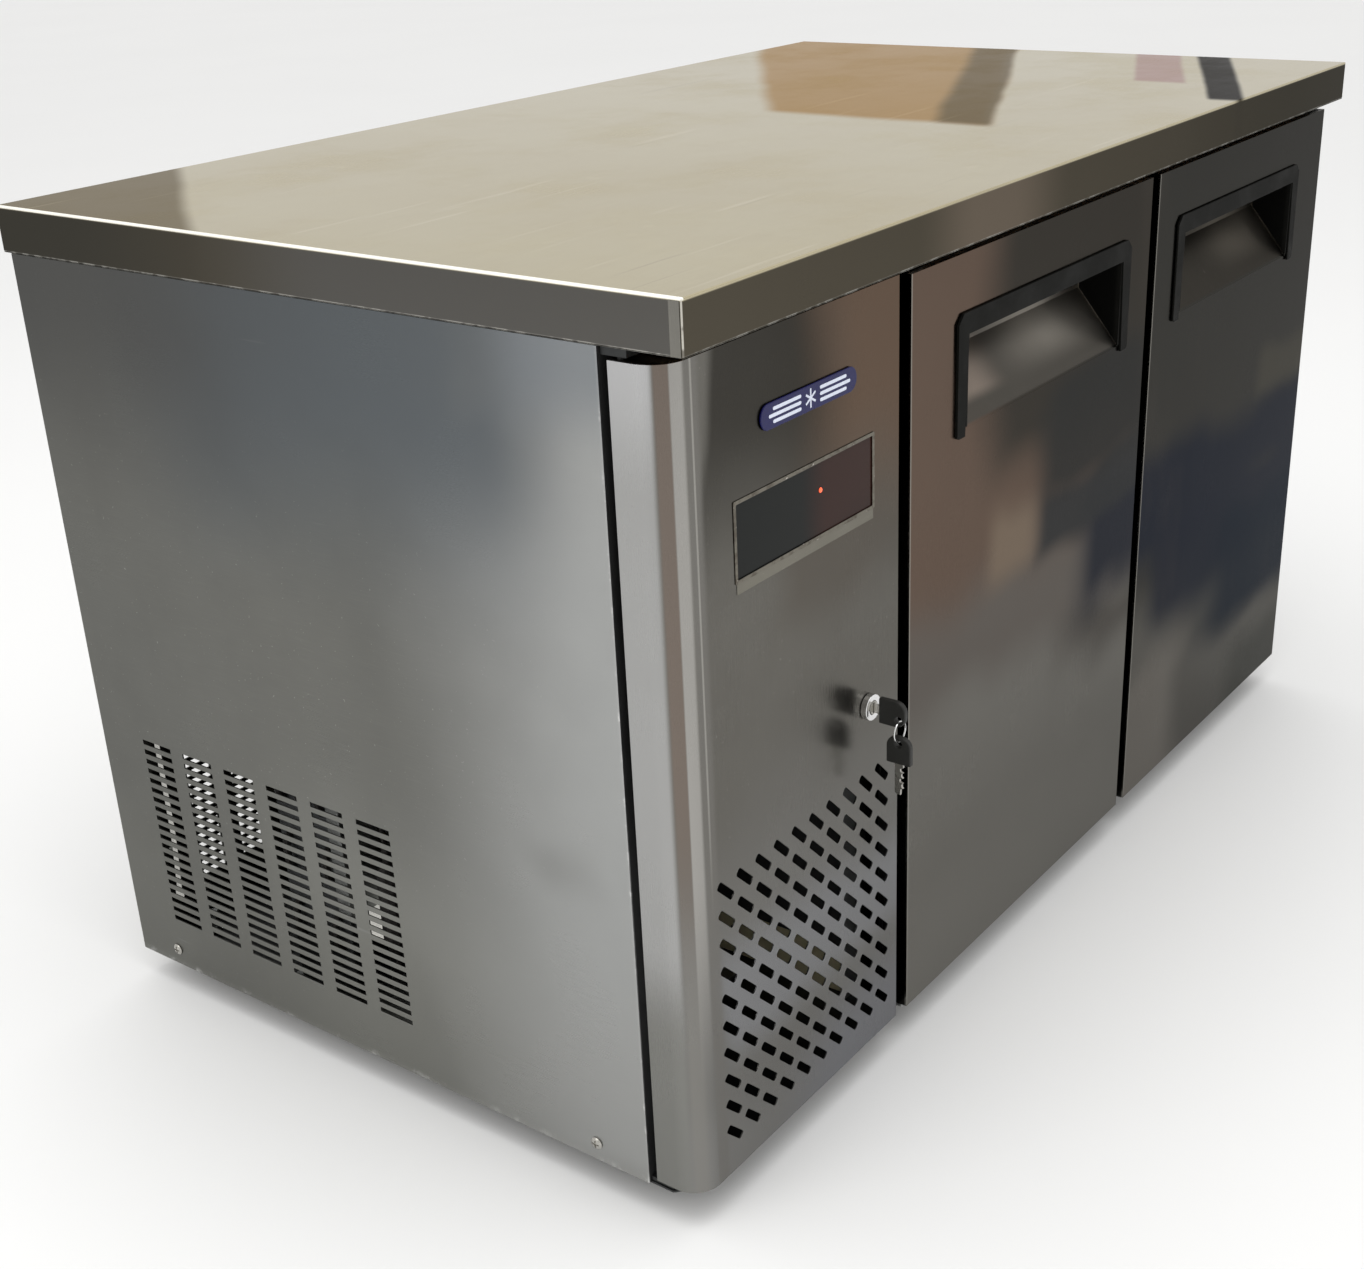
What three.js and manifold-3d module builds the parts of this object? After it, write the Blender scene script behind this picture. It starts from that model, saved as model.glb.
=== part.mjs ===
// A two-door undercounter refrigerator with its machine compartment at the left: a folded steel
// worktop on a foam-insulated cabinet, two hinged doors with sunk handles, and a lockable,
// perforated service door in front of the condensing unit.
//
// Millimetres. X runs along the front from the machine end, Y from the worktop's front edge to
// the back, Z up from the floor. The last group moves this corner frame to the part's origin.
import * as THREE from "three";
import { mergeVertices } from "three/addons/utils/BufferGeometryUtils.js";
import Module from "manifold-3d";

const wasm = await Module();
wasm.setup();

// ---------------------------------------------------------------- driving dimensions

const LENGTH = 1200;
const DEPTH = 700;
const HEIGHT = 740;
const SHEET = 1.5; // folded stainless sheet
const GAP = 0.3; // left between pieces that touch
const APRON = 38; // height of the worktop's folded edge
const BODY_BOTTOM = 28; // underside of the cabinet, carried on the feet
const PANEL_FRONT = 70; // front edges of the side panels
const FACE = 72; // plane that the door gaskets close on
const BODY_BACK = 690;

const FRONT = 18; // outer plane of the doors and the service door
const DOOR_THICKNESS = 48;
const DOOR_BOTTOM = 34;
const DOOR_TOP = 690;
const SERVICE_WIDTH = 291;
const DOOR_GAP = 17;
const END_MARGIN = 1; // right door to the worktop's end
const HINGE_INSET = 12; // hinge pin in from the door's edge
const HINGE_DEPTH = 22; // hinge pin behind the door's front
const PIN_RADIUS = 3;
const PIN_BORE = 3.6;

const INSULATION = 47; // floor, end wall and divider
const DIVIDER_X = 300; // machine side of the insulated divider
const LINER = 1; // liner sheet
const CHAMBER = { x0: 352, x1: 1150, y1: 632, z0: 78, z1: 640 }; // inside of the liner
const SHELF_Z = 330;

const SCREW_HEAD = 2.2;
const KEY_REACH = 36; // key bow's outer end, in front of the service door
const KEY = { bow: 24, height: 22, thickness: 5, hole: 3.2, holeInset: 6, blade: 8, bladeThickness: 2.2 };
const KEY_EYE_DROP = 4.5; // the key in the lock has its eye below the blade's line

const BODY_TOP = HEIGHT - APRON; // underside of the worktop
const DOOR_WIDTH = (LENGTH - END_MARGIN - SERVICE_WIDTH - 2 * DOOR_GAP) / 2;
const DOOR_BACK = FRONT + DOOR_THICKNESS;
const EYE_Y = FRONT - KEY_REACH + KEY.holeInset; // where the key ring hangs
const FRONT_REACH = KEY.height / 2 - EYE_Y; // how far the hanging key stands before the worktop's edge
const END_REACH = SCREW_HEAD + GAP; // how far the screw heads stand out of the machine end

// ---------------------------------------------------------------- geometry helpers

// A box between two opposite corners.
function block([x0, y0, z0], [x1, y1, z1]) {
  const box = new THREE.BoxGeometry(x1 - x0, y1 - y0, z1 - z0);
  return box.translate((x0 + x1) / 2, (y0 + y1) / 2, (z0 + z1) / 2);
}

function polygon(points) {
  return new THREE.Shape(points.map(([u, v]) => new THREE.Vector2(u, v)));
}

function extrude(shape, depth, curveSegments = 6) {
  return new THREE.ExtrudeGeometry(shape, { depth, bevelEnabled: false, curveSegments });
}

// A shape drawn in X and Y, extruded from z0 to z1.
function prismZ(shape, z0, z1, curveSegments) {
  return extrude(shape, z1 - z0, curveSegments).translate(0, 0, z0);
}

// A shape drawn in Y and Z, extruded from x0 to x1.
function prismX(shape, x0, x1, curveSegments) {
  const turn = new THREE.Matrix4().makeBasis(
    new THREE.Vector3(0, 1, 0),
    new THREE.Vector3(0, 0, 1),
    new THREE.Vector3(1, 0, 0),
  );
  return extrude(shape, x1 - x0, curveSegments).applyMatrix4(turn).translate(x0, 0, 0);
}

// A shape drawn in X and Z, extruded from y0 to y1.
function prismY(shape, y0, y1, curveSegments) {
  return extrude(shape, y1 - y0, curveSegments).rotateX(Math.PI / 2).translate(0, y1, 0);
}

// Round bars along each axis, from a to b, centred on the two other coordinates.
function barX(radius, a, b, y, z, sides = 16) {
  const bar = new THREE.CylinderGeometry(radius, radius, b - a, sides);
  return bar.rotateZ(Math.PI / 2).translate((a + b) / 2, y, z);
}

function barY(radius, a, b, x, z, sides = 16) {
  const bar = new THREE.CylinderGeometry(radius, radius, b - a, sides);
  return bar.translate(x, (a + b) / 2, z);
}

function barZ(radius, a, b, x, y, sides = 16) {
  const bar = new THREE.CylinderGeometry(radius, radius, b - a, sides);
  return bar.rotateX(Math.PI / 2).translate(x, y, (a + b) / 2);
}

function solidOf(geometry) {
  const bare = geometry.clone();
  bare.deleteAttribute("normal");
  bare.deleteAttribute("uv");
  const merged = mergeVertices(bare, 1e-4);
  return new wasm.Manifold(
    new wasm.Mesh({
      numProp: 3,
      vertProperties: merged.getAttribute("position").array,
      triVerts: new Uint32Array(merged.getIndex().array),
    }),
  );
}

function geometryOf(solid) {
  const mesh = solid.getMesh();
  const geometry = new THREE.BufferGeometry();
  geometry.setAttribute("position", new THREE.BufferAttribute(mesh.vertProperties, 3));
  geometry.setIndex(new THREE.BufferAttribute(mesh.triVerts, 1));
  geometry.computeVertexNormals();
  return geometry;
}

// The first geometry with the others added to it.
function join(first, ...others) {
  return geometryOf(others.reduce((sum, other) => sum.add(solidOf(other)), solidOf(first)));
}

// The geometry with every tool cut out of it.
function cut(geometry, ...tools) {
  return geometryOf(tools.reduce((rest, tool) => rest.subtract(solidOf(tool)), solidOf(geometry)));
}

// A round tube along a smooth curve through the points.
function tube(points, radius, steps, sides = 8) {
  const path = new THREE.CatmullRomCurve3(points.map((p) => new THREE.Vector3(...p)), false, "centripetal");
  const section = new THREE.Shape();
  for (let i = 0; i < sides; i += 1) {
    const angle = (2 * Math.PI * i) / sides;
    const place = [radius * Math.cos(angle), radius * Math.sin(angle)];
    if (i === 0) section.moveTo(...place);
    else section.lineTo(...place);
  }
  return new THREE.ExtrudeGeometry(section, { steps, extrudePath: path, bevelEnabled: false });
}

// A rectangle with rounded corners, as a shape.
function roundedRectangle(u0, v0, u1, v1, radius) {
  const shape = new THREE.Shape();
  shape.moveTo(u0 + radius, v0);
  shape.lineTo(u1 - radius, v0);
  shape.absarc(u1 - radius, v0 + radius, radius, -Math.PI / 2, 0);
  shape.lineTo(u1, v1 - radius);
  shape.absarc(u1 - radius, v1 - radius, radius, 0, Math.PI / 2);
  shape.lineTo(u0 + radius, v1);
  shape.absarc(u0 + radius, v1 - radius, radius, Math.PI / 2, Math.PI);
  shape.lineTo(u0, v0 + radius);
  shape.absarc(u0 + radius, v0 + radius, radius, Math.PI, 1.5 * Math.PI);
  return shape;
}

// ---------------------------------------------------------------- materials

function material(color, roughness, metalness) {
  return new THREE.MeshStandardMaterial({ color, roughness, metalness });
}

const polishedSteel = material(0xb9b4a6, 0.16, 1);
const brushedSteel = material(0x9a9c9a, 0.34, 1);
const doorSteel = material(0x6d6a66, 0.2, 1);
const innerSteel = material(0xa9abab, 0.4, 1);
const foam = material(0xd9cfa6, 0.9, 0);
const board = material(0x9c7a52, 0.8, 0);
const blackPlastic = material(0x2b2b29, 0.55, 0);
const rubber = material(0x1d1d1d, 0.8, 0);
const darkGlass = material(0x14110f, 0.08, 0);
const badgeBlue = material(0x1b2f86, 0.3, 0);
const chrome = material(0xd8d8d8, 0.12, 1);
const blackEnamel = material(0x161616, 0.45, 0.1);
const aluminium = material(0xc3c6c8, 0.4, 1);
const copper = material(0xb06a43, 0.3, 1);
const zinc = material(0x8d9091, 0.5, 1);
const whitePlastic = material(0xe4e4df, 0.5, 0);

const cabinet = new THREE.Group();

function piece(name, geometry, look) {
  const mesh = new THREE.Mesh(geometry, look);
  mesh.name = name;
  cabinet.add(mesh);
  return mesh;
}

// ---------------------------------------------------------------- worktop and casing

function makeWorktop() {
  const outside = block([0, 0, BODY_TOP], [LENGTH, DEPTH, HEIGHT]);
  const inside = block([SHEET, SHEET, BODY_TOP - 1], [LENGTH - SHEET, DEPTH - SHEET, HEIGHT - SHEET]);
  piece("worktop", cut(outside, inside), polishedSteel);
  const edge = SHEET + GAP;
  piece(
    "worktop_core",
    block([edge, edge, BODY_TOP + GAP], [LENGTH - edge, DEPTH - edge, HEIGHT - edge]),
    board,
  );
}

// Ventilation slots of the left side panel: columns along Y, rows down from the top one.
const LOUVRE = {
  columns: 6,
  rows: 20,
  y: 321.5,
  pitchY: 54.5,
  width: 38,
  top: 269.5,
  pitchZ: 9.73,
  height: 4.6,
};

function makeSidePanels() {
  const top = BODY_TOP - GAP;
  const slots = [];
  for (let column = 0; column < LOUVRE.columns; column += 1) {
    for (let row = 0; row < LOUVRE.rows; row += 1) {
      const y = LOUVRE.y + column * LOUVRE.pitchY;
      const z = LOUVRE.top - row * LOUVRE.pitchZ;
      slots.push(block([-1, y, z - LOUVRE.height], [SHEET + 1, y + LOUVRE.width, z]));
    }
  }
  const left = block([0, PANEL_FRONT, BODY_BOTTOM], [SHEET, BODY_BACK, top]);
  piece("left_side_panel", cut(left, ...slots), brushedSteel);
  const right = block([LENGTH - SHEET, PANEL_FRONT, BODY_BOTTOM], [LENGTH, BODY_BACK, top]);
  piece("right_side_panel", right, brushedSteel);
}

// Pan-head screws low on the left side panel, each a dome whose top points to -X.
function makePanelScrews() {
  const profile = [
    [0, 0],
    [5.5, 0],
    [5.2, 1],
    [3.6, 1.9],
    [0, SCREW_HEAD],
  ].map(([r, h]) => new THREE.Vector2(r, h));
  const places = { left_panel_screw_front: 122, left_panel_screw_rear: 636 };
  for (const [name, y] of Object.entries(places)) {
    const screw = piece(name, new THREE.LatheGeometry(profile, 12), chrome);
    screw.rotation.z = Math.PI / 2;
    screw.position.set(-GAP, y, 45);
  }
}

// A square grid of diagonal slots in the service door.
const PERFORATION = { columns: 10, rows: 10, x: 46, top: 290, pitch: 24.35, length: 25, width: 6.8 };

// Cutters for the slots of a sheet that lies between the planes y0 and y1.
function perforation(y0, y1) {
  const { columns, rows, x, top, pitch, length, width } = PERFORATION;
  const cutters = [];
  for (let column = 0; column < columns; column += 1) {
    for (let row = 0; row < rows; row += 1) {
      const slot = block([-length / 2, y0 - 1, -width / 2], [length / 2, y1 + 1, width / 2]);
      cutters.push(slot.rotateY(Math.PI / 4).translate(x + column * pitch, 0, top - row * pitch));
    }
  }
  return cutters;
}

// Ventilation slots of the back panel, behind the condenser: columns along X.
const BACK_VENT = {
  columns: 3,
  rows: 20,
  x: 71,
  pitchX: 60,
  width: 36,
  top: 263.5,
  pitchZ: 9.95,
  height: 5.6,
};

function makeBackPanel() {
  const side = SHEET + GAP;
  const front = BODY_BACK - SHEET;
  const slots = [];
  for (let column = 0; column < BACK_VENT.columns; column += 1) {
    for (let row = 0; row < BACK_VENT.rows; row += 1) {
      const x = BACK_VENT.x + column * BACK_VENT.pitchX;
      const z = BACK_VENT.top - row * BACK_VENT.pitchZ;
      slots.push(
        block([x, front - 1, z - BACK_VENT.height], [x + BACK_VENT.width, BODY_BACK + 1, z]),
      );
    }
  }
  const sheet = block([side, front, BODY_BOTTOM], [LENGTH - side, BODY_BACK, BODY_TOP - GAP]);
  piece("back_panel", cut(sheet, ...slots), brushedSteel);
}

const CORD_GLAND = { x: 255, z: 360, flange: 14, neck: 9, reach: 8 };

function makeCordGland() {
  const { x, z, flange, neck, reach } = CORD_GLAND;
  const start = BODY_BACK + GAP;
  const body = join(barY(flange, start, start + 3, x, z), barY(neck, start + 1, start + reach, x, z));
  piece("cord_gland", cut(body, barY(4.2, start - 1, start + reach + 1, x, z, 12)), blackPlastic);
}

// ---------------------------------------------------------------- base and feet

const FEET = {
  foot_front_left: [60, 100],
  foot_front_right: [1140, 100],
  foot_rear_left: [60, 655],
  foot_rear_right: [1140, 655],
};
const FOOT_PAD = 20;
const FOOT_STEM = 5;
const STEM_BORE = 5.6;
const STEM_TOP = 50;
const BASE_FRONT = 30; // the base pan reaches forward under the doors, to carry their hinges

// The pan's front left corner is cut off, to stay under the round corner of the service door.
function makeBase() {
  const side = SHEET + GAP;
  const cutOff = 18;
  const outline = polygon([
    [side, BASE_FRONT + cutOff],
    [side + cutOff, BASE_FRONT],
    [LENGTH - side, BASE_FRONT],
    [LENGTH - side, BODY_BACK - side],
    [side, BODY_BACK - side],
  ]);
  const pan = prismZ(outline, BODY_BOTTOM, BODY_BOTTOM + 2);
  const bores = Object.values(FEET).map(([x, y]) => barZ(STEM_BORE, 0, STEM_TOP, x, y, 12));
  piece("base_pan", cut(pan, ...bores), zinc);
}

function makeFeet() {
  const profile = [
    [0, 0],
    [FOOT_PAD, 0],
    [FOOT_PAD, 4],
    [FOOT_STEM + 4, 9],
    [FOOT_STEM, 9],
    [FOOT_STEM, STEM_TOP],
    [0, STEM_TOP],
  ].map(([r, h]) => new THREE.Vector2(r, h));
  for (const [name, [x, y]] of Object.entries(FEET)) {
    const foot = piece(name, new THREE.LatheGeometry(profile, 16), rubber);
    foot.rotation.x = Math.PI / 2;
    foot.position.set(x, y, 0);
  }
}

// ---------------------------------------------------------------- insulated chamber

function makeInsulation() {
  const { x0, x1, y1, z0, z1 } = CHAMBER;
  const front = FACE + LINER + GAP;
  const back = BODY_BACK - SHEET - GAP;
  const end = LENGTH - SHEET - GAP;
  const skin = LINER + GAP; // liner sheet and its clearance
  const floorBottom = BODY_BOTTOM + 2 + GAP;
  const floor = block([DIVIDER_X, front, floorBottom], [end, back, z0 - skin]);
  const bores = [FEET.foot_front_right, FEET.foot_rear_right].map(([x, y]) =>
    barZ(STEM_BORE, 0, STEM_TOP + 14, x, y, 12),
  );
  piece("floor_insulation", cut(floor, ...bores), foam);
  const ceiling = block([DIVIDER_X, front, z1 + skin], [end, back, BODY_TOP - GAP]);
  piece("ceiling_insulation", ceiling, foam);
  const low = z0 - skin + GAP;
  const high = z1 + skin - GAP;
  piece("divider_insulation", block([DIVIDER_X, front, low], [x0 - skin, back, high]), foam);
  piece("end_insulation", block([x1 + skin, front, low], [end, back, high]), foam);
  const rear = block([x0 - skin + GAP, y1 + skin, low], [x1 + skin - GAP, back, high]);
  piece("back_insulation", rear, foam);
}

// The chamber's one-piece lining: a box open at the front, with a flange round its mouth that
// the gaskets close on, and ledges for the shelves.
function makeLiner() {
  const { x0, x1, y1, z0, z1 } = CHAMBER;
  const outside = block([x0 - LINER, FACE, z0 - LINER], [x1 + LINER, y1 + LINER, z1 + LINER]);
  const flange = block(
    [DIVIDER_X - 9, FACE, BODY_BOTTOM + 2 + GAP],
    [LENGTH - SHEET - GAP, FACE + LINER, BODY_TOP - GAP],
  );
  const lining = cut(join(outside, flange), block([x0, FACE - 1, z0], [x1, y1, z1]));
  const ledgeTop = SHELF_Z - GAP;
  const endLedge = block([x1 - 12, 130, ledgeTop - 8], [x1 + 0.5, 600, ledgeTop]);
  const backLedge = block([700, y1 - 14, ledgeTop - 8], [806, y1 + 0.5, ledgeTop]);
  piece("liner", join(lining, endLedge, backLedge), innerSteel);
}

const MULLION = { x0: 712, x1: 795, depth: 38 };

function makeMullion() {
  const { x0, x1, depth } = MULLION;
  const front = FACE + GAP;
  const post = block([x0, front, CHAMBER.z0 + GAP], [x1, front + depth, CHAMBER.z1 - GAP]);
  const ledgeTop = SHELF_Z - GAP;
  const ledge = block([x0 - 6, front + depth - 1, ledgeTop - 8], [x1 + 6, front + depth + 14, ledgeTop]);
  piece("centre_mullion", join(post, ledge), innerSteel);
}

// Wire shelves: a rectangular rim with wires across it from front to back.
const WIRE = 5;

function makeShelf(name, x0, x1) {
  const y0 = FACE + MULLION.depth + 2;
  const y1 = CHAMBER.y1 - 4;
  const top = SHELF_Z + WIRE;
  const rim = cut(
    block([x0, y0, SHELF_Z], [x1, y1, top]),
    block([x0 + WIRE, y0 + WIRE, SHELF_Z - 1], [x1 - WIRE, y1 - WIRE, top + 1]),
  );
  const count = Math.round((x1 - x0) / 34);
  const wires = [];
  for (let i = 1; i < count; i += 1) {
    const x = x0 + ((x1 - x0) * i) / count;
    wires.push(block([x - 1.5, y0 + 1, SHELF_Z + 1], [x + 1.5, y1 - 1, top - 1]));
  }
  const middle = (y0 + y1) / 2;
  wires.push(block([x0 + 1, middle - 2, SHELF_Z + 0.5], [x1 - 1, middle + 2, SHELF_Z + 3]));
  piece(name, join(rim, ...wires), whitePlastic);
}

// ---------------------------------------------------------------- doors

// A door's own frame: s runs from its hinge edge to its free edge, whichever way that lies in X.
function doorFrame(hingeX, direction) {
  return {
    span: (s0, s1) => [hingeX + direction * s0, hingeX + direction * s1].sort((a, b) => a - b),
    at: (s) => hingeX + direction * s,
  };
}

const HANDLE = {
  s0: 70, // outer edge nearest the hinge
  s1: DOOR_WIDTH - 45, // outer edge nearest the free edge
  bottom: 541,
  top: 643,
  bar: 18, // height of the top bar
  sideTop: 17, // width of the side bars at the top
  sideBottom: 13,
  proud: 2.5,
  creaseZ: 546, // where the sunk plate leaves the front
  deepY: 60, // back of the pocket
  deepZ: 597, // where the sloping plate meets the back
  pocketTop: 630,
  lip: 3, // how far the trim covers the pocket's edge
};

function pocketOutline(grow) {
  const slope = Math.hypot(HANDLE.deepY - FRONT, HANDLE.deepZ - HANDLE.creaseZ);
  const drop = (grow * slope) / (HANDLE.deepY - FRONT); // the slope moved out by grow, down in Z
  const fall = (HANDLE.deepZ - HANDLE.creaseZ) / (HANDLE.deepY - FRONT);
  return polygon([
    [FRONT - 1, HANDLE.creaseZ - drop - fall],
    [HANDLE.deepY + grow, HANDLE.deepZ - drop + fall * grow],
    [HANDLE.deepY + grow, HANDLE.pocketTop + grow],
    [FRONT - 1, HANDLE.pocketTop + grow],
  ]);
}

function pocket(frame, grow) {
  const inset = HANDLE.sideBottom + HANDLE.lip - grow;
  return prismX(pocketOutline(grow), ...frame.span(HANDLE.s0 + inset, HANDLE.s1 - inset));
}

function makeDoor(name, hingeX, direction) {
  const frame = doorFrame(hingeX, direction);
  const wall = 1.2;
  const inner = wall + GAP;
  const corners = (s, y, z) => {
    const [x0, x1] = frame.span(s, DOOR_WIDTH - s);
    return [
      [x0, y, DOOR_BOTTOM + z],
      [x1, DOOR_BACK, DOOR_TOP - z],
    ];
  };
  const pinX = frame.at(HINGE_INSET);
  const pinY = FRONT + HINGE_DEPTH;
  const bores = [
    barZ(PIN_BORE, DOOR_BOTTOM - 1, DOOR_BOTTOM + 26, pinX, pinY, 12),
    barZ(PIN_BORE, DOOR_TOP - 26, DOOR_TOP + 1, pinX, pinY, 12),
  ];

  const [panLow, panHigh] = corners(0, FRONT, 0);
  const [hollowLow, hollowHigh] = corners(wall, FRONT + wall, wall);
  const pan = cut(block(panLow, panHigh), block(hollowLow, [hollowHigh[0], DOOR_BACK + 1, hollowHigh[2]]));
  const pocketWall = cut(pocket(frame, wall), block([0, 0, 0], [LENGTH, FRONT, HEIGHT]));
  piece(`${name}_skin`, cut(join(pan, pocketWall), pocket(frame, 0), ...bores), doorSteel);

  const [coreLow, coreHigh] = corners(inner, FRONT + inner, inner);
  const core = block(coreLow, [coreHigh[0], DOOR_BACK - GAP, coreHigh[2]]);
  piece(`${name}_core`, cut(core, pocket(frame, inner), ...bores), whitePlastic);

  makeGasket(`${name}_gasket`, frame);
  makeHandle(`${name}_handle`, frame);
}

const GASKET = { inset: 12, width: 18 };

function makeGasket(name, frame) {
  const ring = (inset) => {
    const [x0, x1] = frame.span(inset, DOOR_WIDTH - inset);
    return [x0, DOOR_BOTTOM + inset, x1, DOOR_TOP - inset];
  };
  const outline = roundedRectangle(...ring(GASKET.inset), 4);
  outline.holes.push(roundedRectangle(...ring(GASKET.inset + GASKET.width), 4));
  piece(name, prismY(outline, DOOR_BACK, FACE - GAP, 3), rubber);
}

// The handle trim: an inverted U on the door's face, a lip behind its top bar, and a wedge at
// each end that closes the pocket's sides.
function makeHandle(name, frame) {
  const { s0, s1, bottom, top, bar, sideTop, sideBottom, proud, lip } = HANDLE;
  const face = polygon(
    [
      [s0, bottom + 2],
      [s0 + 3, bottom],
      [s0 + sideBottom, bottom],
      [s0 + sideTop, top - bar],
      [s1 - sideTop, top - bar],
      [s1 - sideBottom, bottom],
      [s1 - 3, bottom],
      [s1, bottom + 2],
      [s1, top - 8],
      [s1 - 8, top],
      [s0 + 8, top],
      [s0, top - 8],
    ].map(([s, z]) => [frame.at(s), z]),
  );
  const front = FRONT - GAP;
  const trim = prismY(face, FRONT - proud, front);
  const backLip = HANDLE.pocketTop - GAP;
  const ledge = block(
    [frame.span(s0 + 18, s1 - 18)[0], front - 1, top - bar],
    [frame.span(s0 + 18, s1 - 18)[1], FRONT + 6, backLip],
  );
  const wedge = polygon([
    [front - 1, HANDLE.creaseZ + 2],
    [HANDLE.deepY - 2, HANDLE.deepZ + 0.6],
    [HANDLE.deepY - 2, backLip],
    [front - 1, backLip],
  ]);
  const inset = sideBottom + lip + GAP;
  const ends = [s0 + inset, s1 - inset - 2].map((s) => prismX(wedge, ...frame.span(s, s + 2)));
  piece(name, join(trim, ledge, ...ends), blackPlastic);
}

// Each bracket is a plate screwed to the cabinet's front, with the pin that enters the door.
function makeDoorHinges(name, hingeX, direction) {
  const frame = doorFrame(hingeX, direction);
  const [x0, x1] = frame.span(1, 27);
  const pin = [frame.at(HINGE_INSET), FRONT + HINGE_DEPTH];
  const back = FACE - GAP;
  const top = block([x0, FRONT + 6, DOOR_TOP + 1], [x1, back, BODY_TOP - GAP]);
  piece(`${name}_top_hinge`, join(top, barZ(PIN_RADIUS, DOOR_TOP - 22, DOOR_TOP + 2, ...pin, 12)), zinc);
  const low = BODY_BOTTOM + 2 + GAP;
  const bottom = block([x0, FRONT + 6, low], [x1, back, DOOR_BOTTOM - 1]);
  const lowPin = barZ(PIN_RADIUS, DOOR_BOTTOM - 2, DOOR_BOTTOM + 22, ...pin, 12);
  piece(`${name}_bottom_hinge`, join(bottom, lowPin), zinc);
}

// ---------------------------------------------------------------- service door

const SERVICE = { bottom: 35, top: DOOR_TOP + 3.5, corner: 24, wrapBack: 62, flange: 18, hingeLand: 30 };
const SERVICE_PIN = { x: 9, y: 57, bore: 3.5 };
const WINDOW = { x0: 72, x1: 252, z0: 524, z1: 582 };
const LOCK = { x: 243, z: 359, flange: 11, barrel: 9.4, plug: 5.5, bore: 5.9 };
const BADGE = { x0: 104, x1: 227, z: 632, height: 19 };

// The folded sheet in plan: across the front, round the left corner and back to the hinge.
function serviceSection() {
  const { corner, wrapBack, flange } = SERVICE;
  const outer = FRONT;
  const inner = FRONT + SHEET;
  const shape = new THREE.Shape();
  shape.moveTo(0, wrapBack);
  shape.lineTo(0, outer + corner);
  shape.absarc(corner, outer + corner, corner, Math.PI, 1.5 * Math.PI);
  shape.lineTo(SERVICE_WIDTH, outer);
  shape.lineTo(SERVICE_WIDTH, outer + flange);
  shape.lineTo(SERVICE_WIDTH - SHEET, outer + flange);
  shape.lineTo(SERVICE_WIDTH - SHEET, inner);
  shape.lineTo(corner, inner);
  shape.absarc(corner, outer + corner, corner - SHEET, 1.5 * Math.PI, Math.PI, true);
  shape.lineTo(SHEET, wrapBack);
  return shape;
}

// The top and bottom flanges follow the fold, and are deeper over the hinge pins.
function serviceFlange() {
  const { corner, wrapBack, flange, hingeLand } = SERVICE;
  const shape = new THREE.Shape();
  shape.moveTo(0, wrapBack);
  shape.lineTo(0, FRONT + corner);
  shape.absarc(corner, FRONT + corner, corner, Math.PI, 1.5 * Math.PI);
  shape.lineTo(SERVICE_WIDTH, FRONT);
  shape.lineTo(SERVICE_WIDTH, FRONT + flange);
  shape.lineTo(hingeLand, FRONT + flange);
  shape.lineTo(hingeLand, wrapBack);
  return shape;
}

function makeServiceDoor() {
  const { bottom, top } = SERVICE;
  const sheet = join(
    prismZ(serviceSection(), bottom, top, 8),
    prismZ(serviceFlange(), bottom, bottom + SHEET, 8),
    prismZ(serviceFlange(), top - SHEET, top, 8),
  );
  const tools = [
    block([WINDOW.x0, FRONT - 1, WINDOW.z0], [WINDOW.x1, FRONT + SHEET + 1, WINDOW.z1]),
    barY(LOCK.barrel + GAP, FRONT - 1, FRONT + SHEET + 1, LOCK.x, LOCK.z),
    barZ(SERVICE_PIN.bore, bottom - 1, top + 1, SERVICE_PIN.x, SERVICE_PIN.y, 12),
    ...perforation(FRONT, FRONT + SHEET),
  ];
  piece("service_door", cut(sheet, ...tools), brushedSteel);

  const lens = [
    [WINDOW.x0 + GAP, FRONT + 0.4, WINDOW.z0 + GAP],
    [WINDOW.x1 - GAP, FRONT + 2.4, WINDOW.z1 - GAP],
  ];
  piece("display_window", block(...lens), darkGlass);
  const controller = block(
    [WINDOW.x0 + 8, FRONT + 2.7, WINDOW.z0 + 6],
    [WINDOW.x1 - 8, FRONT + 38, WINDOW.z1 - 6],
  );
  piece("controller", controller, blackPlastic);

  const half = BADGE.height / 2;
  const pill = roundedRectangle(BADGE.x0, BADGE.z - half, BADGE.x1, BADGE.z + half, half - 0.5);
  piece("badge", prismY(pill, FRONT - 2.2, FRONT - GAP, 4), badgeBlue);
}

function makeServiceHinges() {
  const { x, y } = SERVICE_PIN;
  const radius = PIN_RADIUS;
  const top = block([3, y - 9, SERVICE.top + 2], [26, PANEL_FRONT - GAP, BODY_TOP - GAP]);
  const topPin = barZ(radius, SERVICE.top - 10, SERVICE.top + 3, x, y, 12);
  piece("service_top_hinge", join(top, topPin), zinc);
  const low = BODY_BOTTOM + 2 + GAP;
  const bottom = block([3, y - 9, low], [26, PANEL_FRONT - GAP, SERVICE.bottom - 1]);
  const bottomPin = barZ(radius, SERVICE.bottom - 2, SERVICE.bottom + 10, x, y, 12);
  piece("service_bottom_hinge", join(bottom, bottomPin), zinc);
}

// ---------------------------------------------------------------- lock and keys

const RING = { radius: 8.5, wire: 0.9 };
const CAM = { y: FRONT + 34.8, thickness: 2.5, length: 40, width: 15 };

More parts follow.
